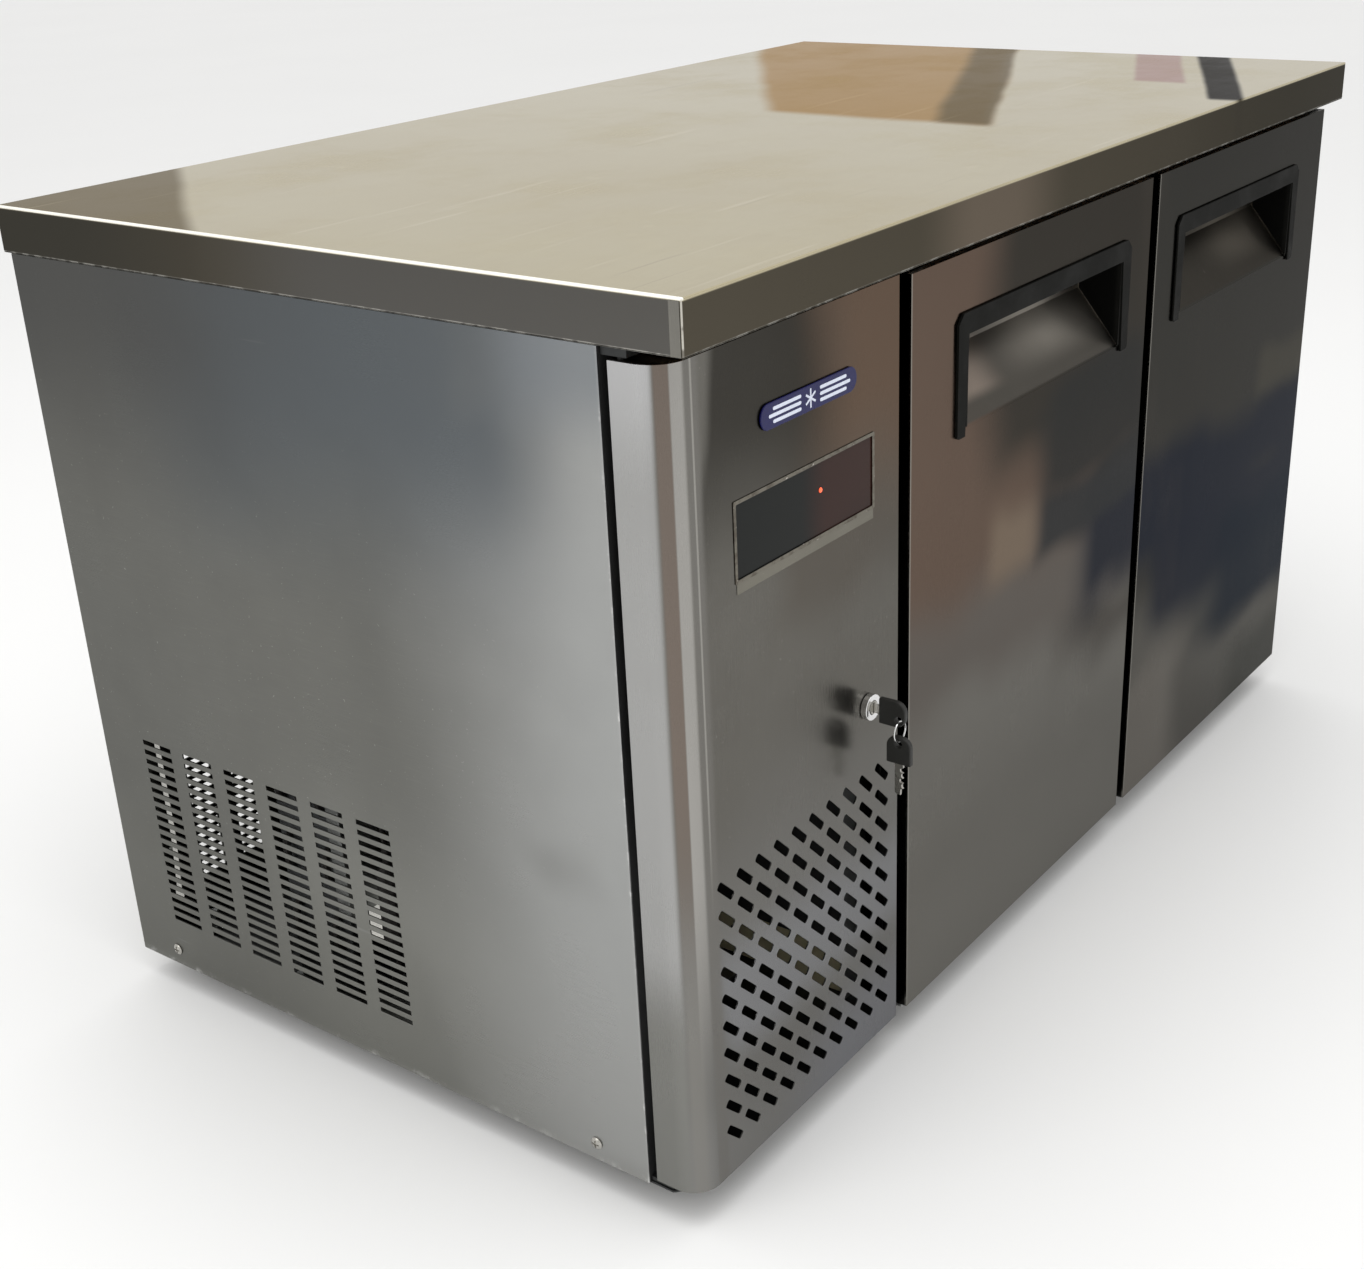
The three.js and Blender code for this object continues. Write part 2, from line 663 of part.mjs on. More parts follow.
// A key in its own frame: the bow's outer end at Y = 0, the blade's tip at Y = reach.
function keyGeometry(reach, eyeDrop) {
  const { bow, height, thickness, hole, holeInset, blade, bladeThickness } = KEY;
  const half = height / 2;
  const round = 9;
  const head = new THREE.Shape();
  head.moveTo(bow, -half);
  head.lineTo(bow, half);
  head.lineTo(round, half);
  head.absarc(round, half - round, round, Math.PI / 2, Math.PI);
  head.absarc(round, round - half, round, Math.PI, 1.5 * Math.PI);
  const shank = polygon([
    [bow - 1, -blade / 2],
    [reach - 4, -blade / 2],
    [reach, 3 - blade / 2],
    [reach, blade / 2],
    [bow - 1, blade / 2],
  ]);
  const solid = join(
    prismX(head, -thickness / 2, thickness / 2, 4),
    prismX(shank, -bladeThickness / 2, bladeThickness / 2),
  );
  return cut(solid, barX(hole, -thickness, thickness, holeInset, -eyeDrop, 12));
}

function makeLock() {
  const { x, z, flange, barrel, plug, bore } = LOCK;
  const body = join(
    barY(flange, FRONT - 6, FRONT - GAP, x, z, 20),
    barY(barrel, FRONT - 1, CAM.y - 2, x, z, 16),
  );
  piece("lock_body", cut(body, barY(bore, FRONT - 7, CAM.y, x, z, 16)), chrome);

  const keyway = KEY.blade / 2 + GAP;
  const halfSlot = KEY.bladeThickness / 2 + GAP;
  const slot = block([x - halfSlot, FRONT - 8, z - keyway], [x + halfSlot, FRONT + 22, z + keyway]);
  const barrelCore = barY(plug, FRONT - 6.5, CAM.y - GAP, x, z, 16);
  piece("lock_plug", cut(barrelCore, slot), chrome);

  const half = CAM.width / 2;
  const cam = roundedRectangle(x - half, z - CAM.length, x + half, z + half, 5);
  piece("lock_cam", prismY(cam, CAM.y, CAM.y + CAM.thickness, 3), zinc);
}

function makeKeys() {
  const { x, z } = LOCK;
  const { bow, holeInset, hole } = KEY;
  const key = piece("key", keyGeometry(bow + 30, KEY_EYE_DROP), blackPlastic);
  key.position.set(x, FRONT - KEY_REACH, z);

  // The ring rests in the key's eye, and the spare key hangs on the ring's lowest point.
  const rest = hole - RING.wire - 0.5;
  const ringTop = z - KEY_EYE_DROP - rest;
  const ring = piece("key_ring", new THREE.TorusGeometry(RING.radius, RING.wire, 6, 24), chrome);
  ring.rotation.x = Math.PI / 2;
  ring.position.set(x, EYE_Y, ringTop - RING.radius);

  const spareEye = ringTop - 2 * RING.radius - rest;
  const spare = piece("spare_key", keyGeometry(bow + 28, 0), blackPlastic);
  spare.rotation.x = -Math.PI / 2;
  spare.position.set(x, EYE_Y, spareEye + holeInset);
}

// An arm from the divider whose lip stands in front of the turned cam.
function makeKeeper() {
  const { x, z } = LOCK;
  const lipBack = CAM.y - 2;
  const lip = block([x + 19, lipBack - 3, z - 12], [x + 46, lipBack, z + 12]);
  const arm = block([x + 41, lipBack - 1, z - 12], [x + 46, 110, z + 12]);
  const foot = block([x + 45, 96, z - 12], [DIVIDER_X - GAP, 110, z + 12]);
  piece("lock_keeper", join(lip, arm, foot), zinc);
}

// ---------------------------------------------------------------- condensing unit

const BAY_FLOOR = BODY_BOTTOM + 2 + GAP;
const UNIT = { x0: 16, x1: 284, y0: 176, y1: 524, thickness: 4 };
const COMPRESSOR = { x: 150, y: 272, radius: 70 };
const CONDENSER = { x0: 36, x1: 270, y0: 440, y1: 516, z1: 310, shroudZ: 130 };
const FAN = { radius: 55, hub: 15, opening: 58, x: 150, y: 409, z: 220 };

const UNIT_DECK = BAY_FLOOR + UNIT.thickness + GAP;

function makeCompressor() {
  const { x0, x1, y0, y1, thickness } = UNIT;
  piece("unit_base", block([x0, y0, BAY_FLOOR], [x1, y1, BAY_FLOOR + thickness]), zinc);
  const profile = [
    [0, 12],
    [42, 12],
    [64, 26],
    [COMPRESSOR.radius, 44],
    [COMPRESSOR.radius, 130],
    [62, 152],
    [36, 166],
    [0, 169],
  ].map(([r, h]) => new THREE.Vector2(r, h));
  const shell = new THREE.LatheGeometry(profile, 20).rotateX(Math.PI / 2);
  const plate = block([-82, -52, 14], [82, 52, 18]);
  const box = block([-30, -88, 60], [30, -55, 120]);
  const mounts = [];
  for (const u of [-70, 70]) {
    for (const v of [-42, 42]) mounts.push(barZ(9, 0, 15, u, v, 10));
  }
  const compressor = piece("compressor", join(shell, plate, box, ...mounts), blackEnamel);
  compressor.position.set(COMPRESSOR.x, COMPRESSOR.y, UNIT_DECK);
}

// The finned block stands on the unit's base.
function makeCondenser() {
  const { x0, x1, y0, y1, z1 } = CONDENSER;
  piece("condenser", block([x0, y0, UNIT_DECK], [x1, y1, z1]), aluminium);
}

function makeFanShroud() {
  const { x0, x1, y0, z1, shroudZ } = CONDENSER;
  const front = y0 - 16;
  const tray = cut(
    block([x0, front, shroudZ], [x1, y0 - GAP, z1]),
    block([x0 + 2, front + 2, shroudZ + 2], [x1 - 2, y0 + 1, z1 - 2]),
  );
  piece("fan_shroud", cut(tray, barY(FAN.opening, front - 1, front + 3, FAN.x, FAN.z, 24)), zinc);
}

function makeFanMotor() {
  const { x, z, opening } = FAN;
  const back = CONDENSER.y0 - 16 - GAP;
  const strap = block([x - opening - 8, FAN.y - 38, z - 6], [x + opening + 8, FAN.y - 34, z + 6]);
  const tabs = [-opening - 8, opening + 4].map((u) =>
    block([x + u, FAN.y - 38, z - 6], [x + u + 4, back, z + 6]),
  );
  const motor = join(barY(26, FAN.y - 58, FAN.y - 20, x, z), barY(3, FAN.y - 21, FAN.y - 9, x, z, 10));
  piece("condenser_fan_motor", join(motor, strap, ...tabs), blackEnamel);
}

// A fan about its own Z axis, from -8 to 8.
function fanBlades(radius, hub, count) {
  const blades = [];
  for (let i = 0; i < count; i += 1) {
    const blade = new THREE.BoxGeometry(radius - hub + 3, 26, 2);
    blade.rotateX(0.5);
    blade.translate((radius + hub - 3) / 2, 0, 0);
    blades.push(blade.rotateZ((2 * Math.PI * i) / count));
  }
  return join(barZ(hub, -8, 8, 0, 0, 16), ...blades);
}

function makeCondenserFan() {
  const fan = piece("condenser_fan", fanBlades(FAN.radius - 2, FAN.hub, 5), aluminium);
  fan.rotation.x = Math.PI / 2;
  fan.position.set(FAN.x, FAN.y, FAN.z);
}

const DRIER = { x: 50, y: 385, z0: 90, z1: 210, radius: 11 };

// The filter drier and the thin liquid pipe brazed into its top are one piece.
function makeFilterDrier() {
  const { x, y, z0, z1, radius } = DRIER;
  const length = z1 - z0;
  const profile = [
    [0, 0],
    [3, 0],
    [3, 14],
    [radius, 26],
    [radius, length - 26],
    [3.5, length - 14],
    [3.5, length],
    [0, length],
  ].map(([r, h]) => new THREE.Vector2(r, h));
  const drier = new THREE.LatheGeometry(profile, 12).rotateX(Math.PI / 2).translate(x, y, z0);
  const liquid = [
    [x, y, z1 - 4],
    [x, y, 290],
    [80, 375, 450],
    [180, 365, 600],
    [260, 360, 606],
    [DIVIDER_X - GAP, 360, 606],
  ];
  piece("filter_drier", join(drier, tube(liquid, 2.5, 22, 6)), copper);
}

function makePipes() {
  const discharge = [
    [208, 326, 120],
    [228, 348, 126],
    [238, 372, 180],
    [240, 400, 330],
    [240, 440, 350],
    [240, 470, 340],
    [240, 470, CONDENSER.z1 + GAP],
  ];
  piece("discharge_pipe", tube(discharge, 4, 26), copper);
  const suction = [
    [DIVIDER_X - GAP, 330, 560],
    [284, 330, 560],
    [256, 331, 550],
    [242, 328, 500],
    [232, 290, 300],
    [229, 258, 190],
    [223.5, 248, 160],
  ];
  piece("suction_pipe", tube(suction, 5, 22), copper);
}

// ---------------------------------------------------------------- evaporator

const COOLER = { x1: 432, y0: 140, y1: 575, z0: 200, z1: 632, fanY: 357.5, fanZ: 460 };

function makeEvaporator() {
  const { x1, y0, y1, z0, z1, fanY, fanZ } = COOLER;
  const start = CHAMBER.x0 + GAP;
  piece("evaporator", block([start, y0 + 20, z0 + 40], [start + 36, y1 - 20, z1 - 30]), aluminium);

  const shell = cut(
    block([start, y0, z0], [x1, y1, z1]),
    block([start - 1, y0 + SHEET, z0 + SHEET], [x1 - SHEET, y1 - SHEET, z1 - SHEET]),
  );
  const intakes = [];
  for (let i = 0; i < 8; i += 1) {
    const y = y0 + 30 + i * 49;
    intakes.push(block([start + 44, y, z0 - 1], [x1 - 12, y + 34, z0 + SHEET + 1]));
  }
  const opening = barX(FAN.opening, x1 - SHEET - 1, x1 + 1, fanY, fanZ, 24);
  const cover = cut(shell, opening, ...intakes);
  const ledgeTop = SHELF_Z - GAP;
  const ledge = block([x1 - 0.5, y0 + 20, ledgeTop - 8], [x1 + 14, y1 - 20, ledgeTop]);
  piece("evaporator_cover", join(cover, ledge), innerSteel);

  const motorFront = start + 36 + GAP;
  const can = barX(20, motorFront, motorFront + 14, fanY, fanZ);
  const motor = join(can, barX(3, motorFront + 13, 406, fanY, fanZ, 10));
  piece("evaporator_fan_motor", motor, blackEnamel);
  const fan = piece("evaporator_fan", fanBlades(FAN.radius - 2, FAN.hub, 5), blackPlastic);
  fan.rotation.y = Math.PI / 2;
  fan.position.set(415, fanY, fanZ);
}

// ---------------------------------------------------------------- assembly

makeWorktop();
makeSidePanels();
makePanelScrews();
makeBackPanel();
makeCordGland();
makeBase();
makeFeet();
makeInsulation();
makeLiner();
makeMullion();
makeShelf("left_shelf", COOLER.x1 + 4, 749);
makeShelf("right_shelf", 757, CHAMBER.x1 - 4);

const leftHinge = SERVICE_WIDTH + DOOR_GAP;
const rightHinge = LENGTH - END_MARGIN;
makeDoor("left_door", leftHinge, 1);
makeDoorHinges("left_door", leftHinge, 1);
makeDoor("right_door", rightHinge, -1);
makeDoorHinges("right_door", rightHinge, -1);

makeServiceDoor();
makeServiceHinges();
makeLock();
makeKeys();
makeKeeper();

makeCompressor();
makeCondenser();
makeFanShroud();
makeFanMotor();
makeCondenserFan();
makeFilterDrier();
makePipes();
makeEvaporator();

// The origin is on the floor, under the middle of the whole part, keys included.
cabinet.position.set((END_REACH - LENGTH) / 2, (FRONT_REACH - DEPTH) / 2, 0);

const refrigerator = new THREE.Group();
refrigerator.add(cabinet);

export default refrigerator;
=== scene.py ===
"""Looks of the undercounter refrigerator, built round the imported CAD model.

Lengths in this file are millimetres in the corner frame of the cabinet: X along the front from
the machine end, Y from the worktop's front edge to the back, Z up from the floor. P() turns them
into metres in the row frame.
"""

import math
from collections import namedtuple

import bmesh
import bpy
from mathutils import Euler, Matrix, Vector


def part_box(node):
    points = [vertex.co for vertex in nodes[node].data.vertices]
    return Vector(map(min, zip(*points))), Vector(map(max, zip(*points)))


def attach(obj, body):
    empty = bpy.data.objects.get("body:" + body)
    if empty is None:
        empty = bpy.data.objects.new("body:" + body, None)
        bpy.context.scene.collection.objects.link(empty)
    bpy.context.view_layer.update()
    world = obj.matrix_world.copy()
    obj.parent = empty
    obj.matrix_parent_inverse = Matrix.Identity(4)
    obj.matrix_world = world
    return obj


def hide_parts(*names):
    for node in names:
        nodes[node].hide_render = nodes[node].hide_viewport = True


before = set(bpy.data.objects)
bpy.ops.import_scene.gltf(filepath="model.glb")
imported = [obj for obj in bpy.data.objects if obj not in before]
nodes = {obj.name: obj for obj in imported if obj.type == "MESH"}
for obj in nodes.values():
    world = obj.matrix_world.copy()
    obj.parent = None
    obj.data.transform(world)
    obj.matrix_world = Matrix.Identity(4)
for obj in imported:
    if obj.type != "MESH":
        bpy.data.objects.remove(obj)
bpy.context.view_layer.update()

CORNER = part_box("worktop")[0]
Box = namedtuple("Box", "x0 y0 z0 x1 y1 z1")


def P(x, y, z):
    """A point of the corner frame, in metres in the row frame."""
    return Vector((CORNER.x + x / 1000, CORNER.y + y / 1000, z / 1000))


def mm(node):
    """A CAD node's box in the corner frame, in millimetres."""
    low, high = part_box(node)
    return Box(
        (low.x - CORNER.x) * 1000,
        (low.y - CORNER.y) * 1000,
        low.z * 1000,
        (high.x - CORNER.x) * 1000,
        (high.y - CORNER.y) * 1000,
        high.z * 1000,
    )


# ---- colour and shader helpers


def srgb(r, g, b):
    """Linear colour of an 8-bit sRGB colour."""
    return tuple(
        v / 12.92 if v <= 0.04045 else ((v + 0.055) / 1.055) ** 2.4
        for v in (r / 255, g / 255, b / 255)
    )


class Shader:
    """A Principled material whose textures are placed by the object's own coordinates."""

    def __init__(self, name, color, roughness, metallic=0.0):
        self.mat = bpy.data.materials.new(name)
        self.mat.use_nodes = True
        self.tree = self.mat.node_tree
        self.bsdf = self.tree.nodes["Principled BSDF"]
        self.bsdf.inputs["Metallic"].default_value = metallic
        self.mat.diffuse_color = (*color, 1)
        self.mat.metallic = metallic
        self.mat.roughness = roughness
        self.coord = self.add("ShaderNodeTexCoord").outputs["Object"]
        self.color = self.rgb(color)
        self.rough = self.number(roughness)
        self.normal = None
        self.edge = self.rgb((1.0, 1.0, 1.0))

    def add(self, kind, **settings):
        node = self.tree.nodes.new(kind)
        for key, value in settings.items():
            setattr(node, key, value)
        return node

    def link(self, source, socket):
        if hasattr(source, "is_output"):
            self.tree.links.new(source, socket)
        else:
            socket.default_value = source

    def rgb(self, color):
        node = self.add("ShaderNodeRGB")
        node.outputs[0].default_value = (*color, 1)
        return node.outputs[0]

    def number(self, value):
        node = self.add("ShaderNodeValue")
        node.outputs[0].default_value = value
        return node.outputs[0]

    def stretched(self, scale=(1, 1, 1), turn=(0, 0, 0), offset=(0, 0, 0)):
        node = self.add("ShaderNodeMapping")
        node.inputs["Location"].default_value = offset
        node.inputs["Rotation"].default_value = [math.radians(a) for a in turn]
        node.inputs["Scale"].default_value = scale
        self.link(self.coord, node.inputs["Vector"])
        return node.outputs[0]

    def noise(
        self, scale, stretch=(1, 1, 1), detail=3.0, roughness=0.5, turn=(0, 0, 0), offset=(0, 0, 0)
    ):
        node = self.add("ShaderNodeTexNoise")
        node.inputs["Scale"].default_value = scale
        node.inputs["Detail"].default_value = detail
        node.inputs["Roughness"].default_value = roughness
        self.link(self.stretched(stretch, turn, offset), node.inputs["Vector"])
        return node.outputs["Fac"]

    def ramp(self, value, low, high, out_low=0.0, out_high=1.0):
        node = self.add("ShaderNodeMapRange")
        node.interpolation_type = "SMOOTHSTEP"
        self.link(value, node.inputs["Value"])
        limits = {"From Min": low, "From Max": high, "To Min": out_low, "To Max": out_high}
        for key, limit in limits.items():
            node.inputs[key].default_value = limit
        return node.outputs["Result"]

    def math(self, operation, a, b):
        node = self.add("ShaderNodeMath", operation=operation)
        self.link(a, node.inputs[0])
        self.link(b, node.inputs[1])
        return node.outputs[0]

    def axis(self, name):
        node = self.add("ShaderNodeSeparateXYZ")
        self.link(self.coord, node.inputs[0])
        return node.outputs[name]

    def span(self, axis, start, end, wobble=0.0, lean=0.0):
        """A smooth 0 to 1 step along an axis, between two places in corner-frame millimetres.

        With a lean, the step slants: its place moves by lean millimetres for each one of X.
        """
        shift = {"X": CORNER.x, "Y": CORNER.y, "Z": 0.0}[axis]
        value = self.axis(axis)
        if lean:
            value = self.math("SUBTRACT", value, self.math("MULTIPLY", self.axis("X"), lean))
            shift -= lean * CORNER.x
        if wobble:
            drift = self.noise(4.5, detail=2.0, offset=(start / 100, end / 100, 1))
            drift = self.math("MULTIPLY", self.math("SUBTRACT", drift, 0.5), wobble / 500)
            value = self.math("ADD", value, drift)
        return self.ramp(value, shift + start / 1000, shift + end / 1000)

    def zone(self, strength, *steps, wobble=60.0):
        """The product of spans, each (axis, start, end) or with a lean, times a strength."""
        factor = strength
        for axis, start, end, *lean in steps:
            factor = self.math("MULTIPLY", self.span(axis, start, end, wobble, *lean), factor)
        return factor

    def mixed(self, under, factor, color):
        """A colour output with another colour over it, by a factor from 0 to 1."""
        node = self.add("ShaderNodeMix", data_type="RGBA")
        self.link(factor, node.inputs["Factor"])
        self.link(under, node.inputs["A"])
        node.inputs["B"].default_value = (*color, 1)
        return node.outputs["Result"]

    def tint(self, factor, color):
        """Mixes a colour into the base colour by a factor from 0 to 1."""
        self.color = self.mixed(self.color, factor, color)

    def wash(self, strength, color, *steps, wobble=60.0):
        """Tints a zone with an 8-bit sRGB colour."""
        self.tint(self.zone(strength, *steps, wobble=wobble), srgb(*color))

    def fleck(self, noise, low, high, amount, color):
        """Tints where a noise rises from low to high, by up to an amount."""
        self.tint(self.ramp(noise, low, high, 0.0, amount), color)

    def wear(self, mask, strength, color, *steps):
        """Tints a sharp-edged zone with an 8-bit sRGB colour where a mask lets it through."""
        zone = self.zone(strength, *steps, wobble=0)
        self.tint(self.math("MULTIPLY", mask, zone), srgb(*color))

    def roughen(self, value, amount):
        """Adds value times amount to the roughness."""
        self.rough = self.math("ADD", self.rough, self.math("MULTIPLY", value, amount))

    def bump(self, height, strength, distance=0.0005):
        node = self.add("ShaderNodeBump")
        node.inputs["Strength"].default_value = strength
        node.inputs["Distance"].default_value = distance
        self.link(height, node.inputs["Height"])
        if self.normal is not None:
            self.link(self.normal, node.inputs["Normal"])
        self.normal = node.outputs[0]

    def done(self):
        self.link(self.color, self.bsdf.inputs["Base Color"])
        self.link(self.rough, self.bsdf.inputs["Roughness"])
        self.link(self.edge, self.bsdf.inputs["Specular Tint"])
        if self.normal is not None:
            self.link(self.normal, self.bsdf.inputs["Normal"])
        return self.mat


def steel(name, color, roughness, grain, dark=None, cloud=0.35, lines=0.03, specks=0.3):
    """Stainless sheet: brushed along one axis, with smudges, fine scratches and bright specks."""
    s = Shader(name, color, roughness, 1.0)
    along = [260.0, 260.0, 260.0]
    along["XYZ".index(grain)] = 3.0
    fine = s.noise(9.0, along, detail=2.0)
    dark = dark or tuple(c * 0.62 for c in color)
    s.fleck(s.noise(2.3, (1, 1, 1), 4.0, 0.55), 0.32, 0.7, cloud, dark)
    smudges = s.noise(14.0, (1, 1, 1), 5.0, 0.65, offset=(3, 1, 2))
    s.fleck(smudges, 0.5, 0.78, cloud * 0.6, dark)
    pale = tuple(min(1.0, c * 1.45 + 0.02) for c in color)
    s.fleck(fine, 0.5, 0.72, 0.16, pale)
    scratch = s.noise(30.0, (1, 1, 18), 2.0, 0.5, (20, 35, 10))
    s.fleck(scratch, 0.71, 0.77, 0.12, pale)
    bright = tuple(min(1, c * 2.6 + 0.1) for c in color)
    s.fleck(s.noise(420.0, (1, 1, 1), 1.0), 0.74, 0.8, specks, bright)
    s.roughen(s.ramp(s.noise(7.0, (1, 1, 1), 5.0, 0.6, offset=(5, 2, 7)), 0.35, 0.75), 0.16)
    s.roughen(s.ramp(fine, 0.3, 0.75), 0.05)
    s.bump(fine, lines, 0.0003)
    s.bump(s.noise(3.5, (1, 1, 1), 2.0), 0.02, 0.004)
    s.edge = s.rgb((0.5, 0.5, 0.5))
    return s


def plastic(name, color, roughness, texture=900.0, bump=0.12, wear=0.06):
    """Moulded plastic: a fine spark-eroded texture with paler, shinier rubbed spots."""
    s = Shader(name, color, roughness)
    rubbed = tuple(c * 1.5 + wear * 0.1 for c in color)
    s.fleck(s.noise(22.0, detail=4.0, roughness=0.6), 0.45, 0.8, 0.35, rubbed)
    s.roughen(s.ramp(s.noise(35.0, detail=4.0, offset=(2, 2, 2)), 0.4, 0.75), -0.12)
    s.bump(s.noise(texture, detail=1.0), bump, 0.0002)
    return s


def paint(name, color, roughness, metallic=0.0):
    """Enamel or zinc plate: a faint orange peel and blotches."""
    s = Shader(name, color, roughness, metallic)
    blotch = tuple(c * 0.55 for c in color)
    speck = tuple(min(1, c * 1.7 + 0.04) for c in color)
    s.fleck(s.noise(18.0, detail=4.0, roughness=0.65), 0.4, 0.75, 0.4, blotch)
    s.fleck(s.noise(260.0, detail=2.0), 0.68, 0.78, 0.3, speck)
    s.roughen(s.ramp(s.noise(24.0, detail=3.0, offset=(1, 4, 2)), 0.35, 0.75), 0.15)
    s.bump(s.noise(160.0, detail=2.0), 0.1, 0.0003)
    return s


# ---- mesh helpers


def unit_circle(sides):
    """The cosines and sines of equal steps round a circle."""
    return [
        (math.cos(2 * math.pi * i / sides), math.sin(2 * math.pi * i / sides)) for i in range(sides)
    ]


class Builder:
    """Collects closed shapes, given in corner-frame millimetres, into one mesh."""

    def __init__(self):
        self.bm = bmesh.new()

    def face_loops(self, loops, caps=True):
        """Skins equal point loops, in order, and caps the ends or joins the last to the first."""
        rings = [[self.bm.verts.new(P(*p)) for p in loop] for loop in loops]
        count = len(rings[0])
        pairs = list(zip(rings, rings[1:])) + ([] if caps else [(rings[-1], rings[0])])
        for a, b in pairs:
            for i in range(count):
                j = (i + 1) % count
                self.bm.faces.new((a[i], a[j], b[j], b[i]))
        if caps:
            self.bm.faces.new(list(reversed(rings[0])))
            self.bm.faces.new(rings[-1])
        return self

    def box(self, x0, y0, z0, x1, y1, z1):
        low = [(x0, y0), (x1, y0), (x1, y1), (x0, y1)]
        return self.face_loops([[(x, y, z) for x, y in low] for z in (z0, z1)])

    def prism(self, outline, axis, a, b):
        """An outline in the two other axes, in X, Y, Z order, extruded from a to b along axis."""
        place = {
            "X": lambda u, v, w: (w, u, v),
            "Y": lambda u, v, w: (u, w, v),
            "Z": lambda u, v, w: (u, v, w),
        }[axis]
        return self.face_loops([[place(u, v, w) for u, v in outline] for w in (a, b)])

    def lathe(self, profile, center, axis="Z", sides=32):
        """A closed solid of revolution. The profile is (radius, height) pairs, from end to end."""
        cx, cy, cz = center
        place = {
            "X": lambda r, h, c, s: (cx + h, cy + r * c, cz + r * s),
            "Y": lambda r, h, c, s: (cx + r * c, cy + h, cz + r * s),
            "Z": lambda r, h, c, s: (cx + r * c, cy + r * s, cz + h),
        }[axis]
        turns = unit_circle(sides)
        rings = [[place(max(r, 0.05), h, c, s) for c, s in turns] for r, h in profile]
        return self.face_loops(rings)

    def tube(self, points, radius, sides=10, closed=False):
        """A round tube along points, given in millimetres, with rotation-minimising rings."""
        path = [Vector(p) for p in points]
        count = len(path)
        tangents = []
        for i in range(count):
            if closed:
                step = path[(i + 1) % count] - path[i - 1]
            else:
                step = path[min(i + 1, count - 1)] - path[max(i - 1, 0)]
            tangents.append(step.normalized())
        side = tangents[0].orthogonal().normalized()
        turns = unit_circle(sides)
        loops = []
        for point, tangent in zip(path, tangents):
            side = (side - tangent * side.dot(tangent)).normalized()
            other = tangent.cross(side)
            loops.append([tuple(point + radius * (c * side + s * other)) for c, s in turns])
        return self.face_loops(loops, caps=not closed)

    def object(self, name, material, body, slot, bevel=0.0, segments=2, stands_for=()):
        """Ends the builder: its mesh becomes a piece that rides on a body."""
        bmesh.ops.recalc_face_normals(self.bm, faces=self.bm.faces)
        mesh = bpy.data.meshes.new(name)
        self.bm.to_mesh(mesh)
        self.bm.free()
        add_piece(name, mesh, material, body, bevel, segments, stands_for)


def add_piece(name, mesh, material, body, bevel=0.0, segments=2, stands_for=()):
    """A smooth-shaded piece on a body; stands_for lists the CAD nodes that it replaces."""
    obj = bpy.data.objects.new(name, mesh)
    bpy.context.scene.collection.objects.link(obj)
    mesh.materials.clear()
    mesh.materials.append(material)
    shade_smooth(obj)
    if bevel:
        add_bevel(obj, bevel, segments)
    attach(obj, body)
    if stands_for:
        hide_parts(*stands_for)


def shade_smooth(obj, angle=35.0):
    """Smooth shading that keeps edges sharper than the angle."""
    mesh = obj.data
    for polygon in mesh.polygons:
        polygon.use_smooth = True
    mesh.set_sharp_from_angle(angle=math.radians(angle))


def add_bevel(obj, width, segments=2, angle=35.0):
    mod = obj.modifiers.new("edge", "BEVEL")
    mod.width = width / 1000
    mod.segments = segments
    mod.limit_method = "ANGLE"
    mod.angle_limit = math.radians(angle)
    mod.harden_normals = True
    mod.use_clamp_overlap = True


def dress(node, material, bevel=0.0, segments=2, angle=35.0):
    """A carried-over CAD node gets a material and rounded edges."""
    obj = nodes[node]
    obj.data.materials.clear()
    obj.data.materials.append(material)
    weld = obj.modifiers.new("weld", "WELD")
    weld.merge_threshold = 1e-5
    if bevel:
        add_bevel(obj, bevel, segments, angle)


def arc(cx, cy, radius, start, end, steps):
    """Points of an arc, angles in degrees."""
    out = []
    for i in range(steps + 1):
        a = math.radians(start + (end - start) * i / steps)
        out.append((cx + radius * math.cos(a), cy + radius * math.sin(a)))
    return out


def rounded(u0, v0, u1, v1, r, steps=5):
    """A rectangle's outline with rounded corners, anticlockwise."""
    return (
        arc(u1 - r, v0 + r, r, -90, 0, steps)
        + arc(u1 - r, v1 - r, r, 0, 90, steps)
        + arc(u0 + r, v1 - r, r, 90, 180, steps)
        + arc(u0 + r, v0 + r, r, 180, 270, steps)
    )


def curve_points(points, per_span=6):
    """Catmull-Rom points through the given ones."""
    path = [Vector(p) for p in points]
    path = [2 * path[0] - path[1]] + path + [2 * path[-1] - path[-2]]
    out = []
    for i in range(1, len(path) - 2):
        p0, p1, p2, p3 = path[i - 1 : i + 3]
        for k in range(per_span):
            t = k / per_span
            square = 2 * p0 - 5 * p1 + 4 * p2 - p3
            cube = 3 * p1 - p0 - 3 * p2 + p3
            out.append(0.5 * ((2 * p1) + (p2 - p0) * t + square * t**2 + cube * t**3))
    out.append(path[-2])
    return [tuple(p) for p in out]


def carve(name, solid, cutters):
    """The mesh of one builder's shape with another's cut out of it."""
    parts = []
    for tag, builder in (("solid", solid), ("cutters", cutters)):
        bmesh.ops.recalc_face_normals(builder.bm, faces=builder.bm.faces)
        mesh = bpy.data.meshes.new(f"{name}_{tag}")
        builder.bm.to_mesh(mesh)
        builder.bm.free()
        obj = bpy.data.objects.new(f"{name}_{tag}", mesh)
        bpy.context.scene.collection.objects.link(obj)
        parts.append(obj)
    mod = parts[0].modifiers.new("cut", "BOOLEAN")
    mod.operation = "DIFFERENCE"
    mod.solver = "EXACT"
    mod.object = parts[1]
    depsgraph = bpy.context.evaluated_depsgraph_get()
    mesh = bpy.data.meshes.new_from_object(parts[0].evaluated_get(depsgraph))
    mesh.name = name
    for obj in parts:
        bpy.data.objects.remove(obj)
    return mesh


# ---- camera, light and floor

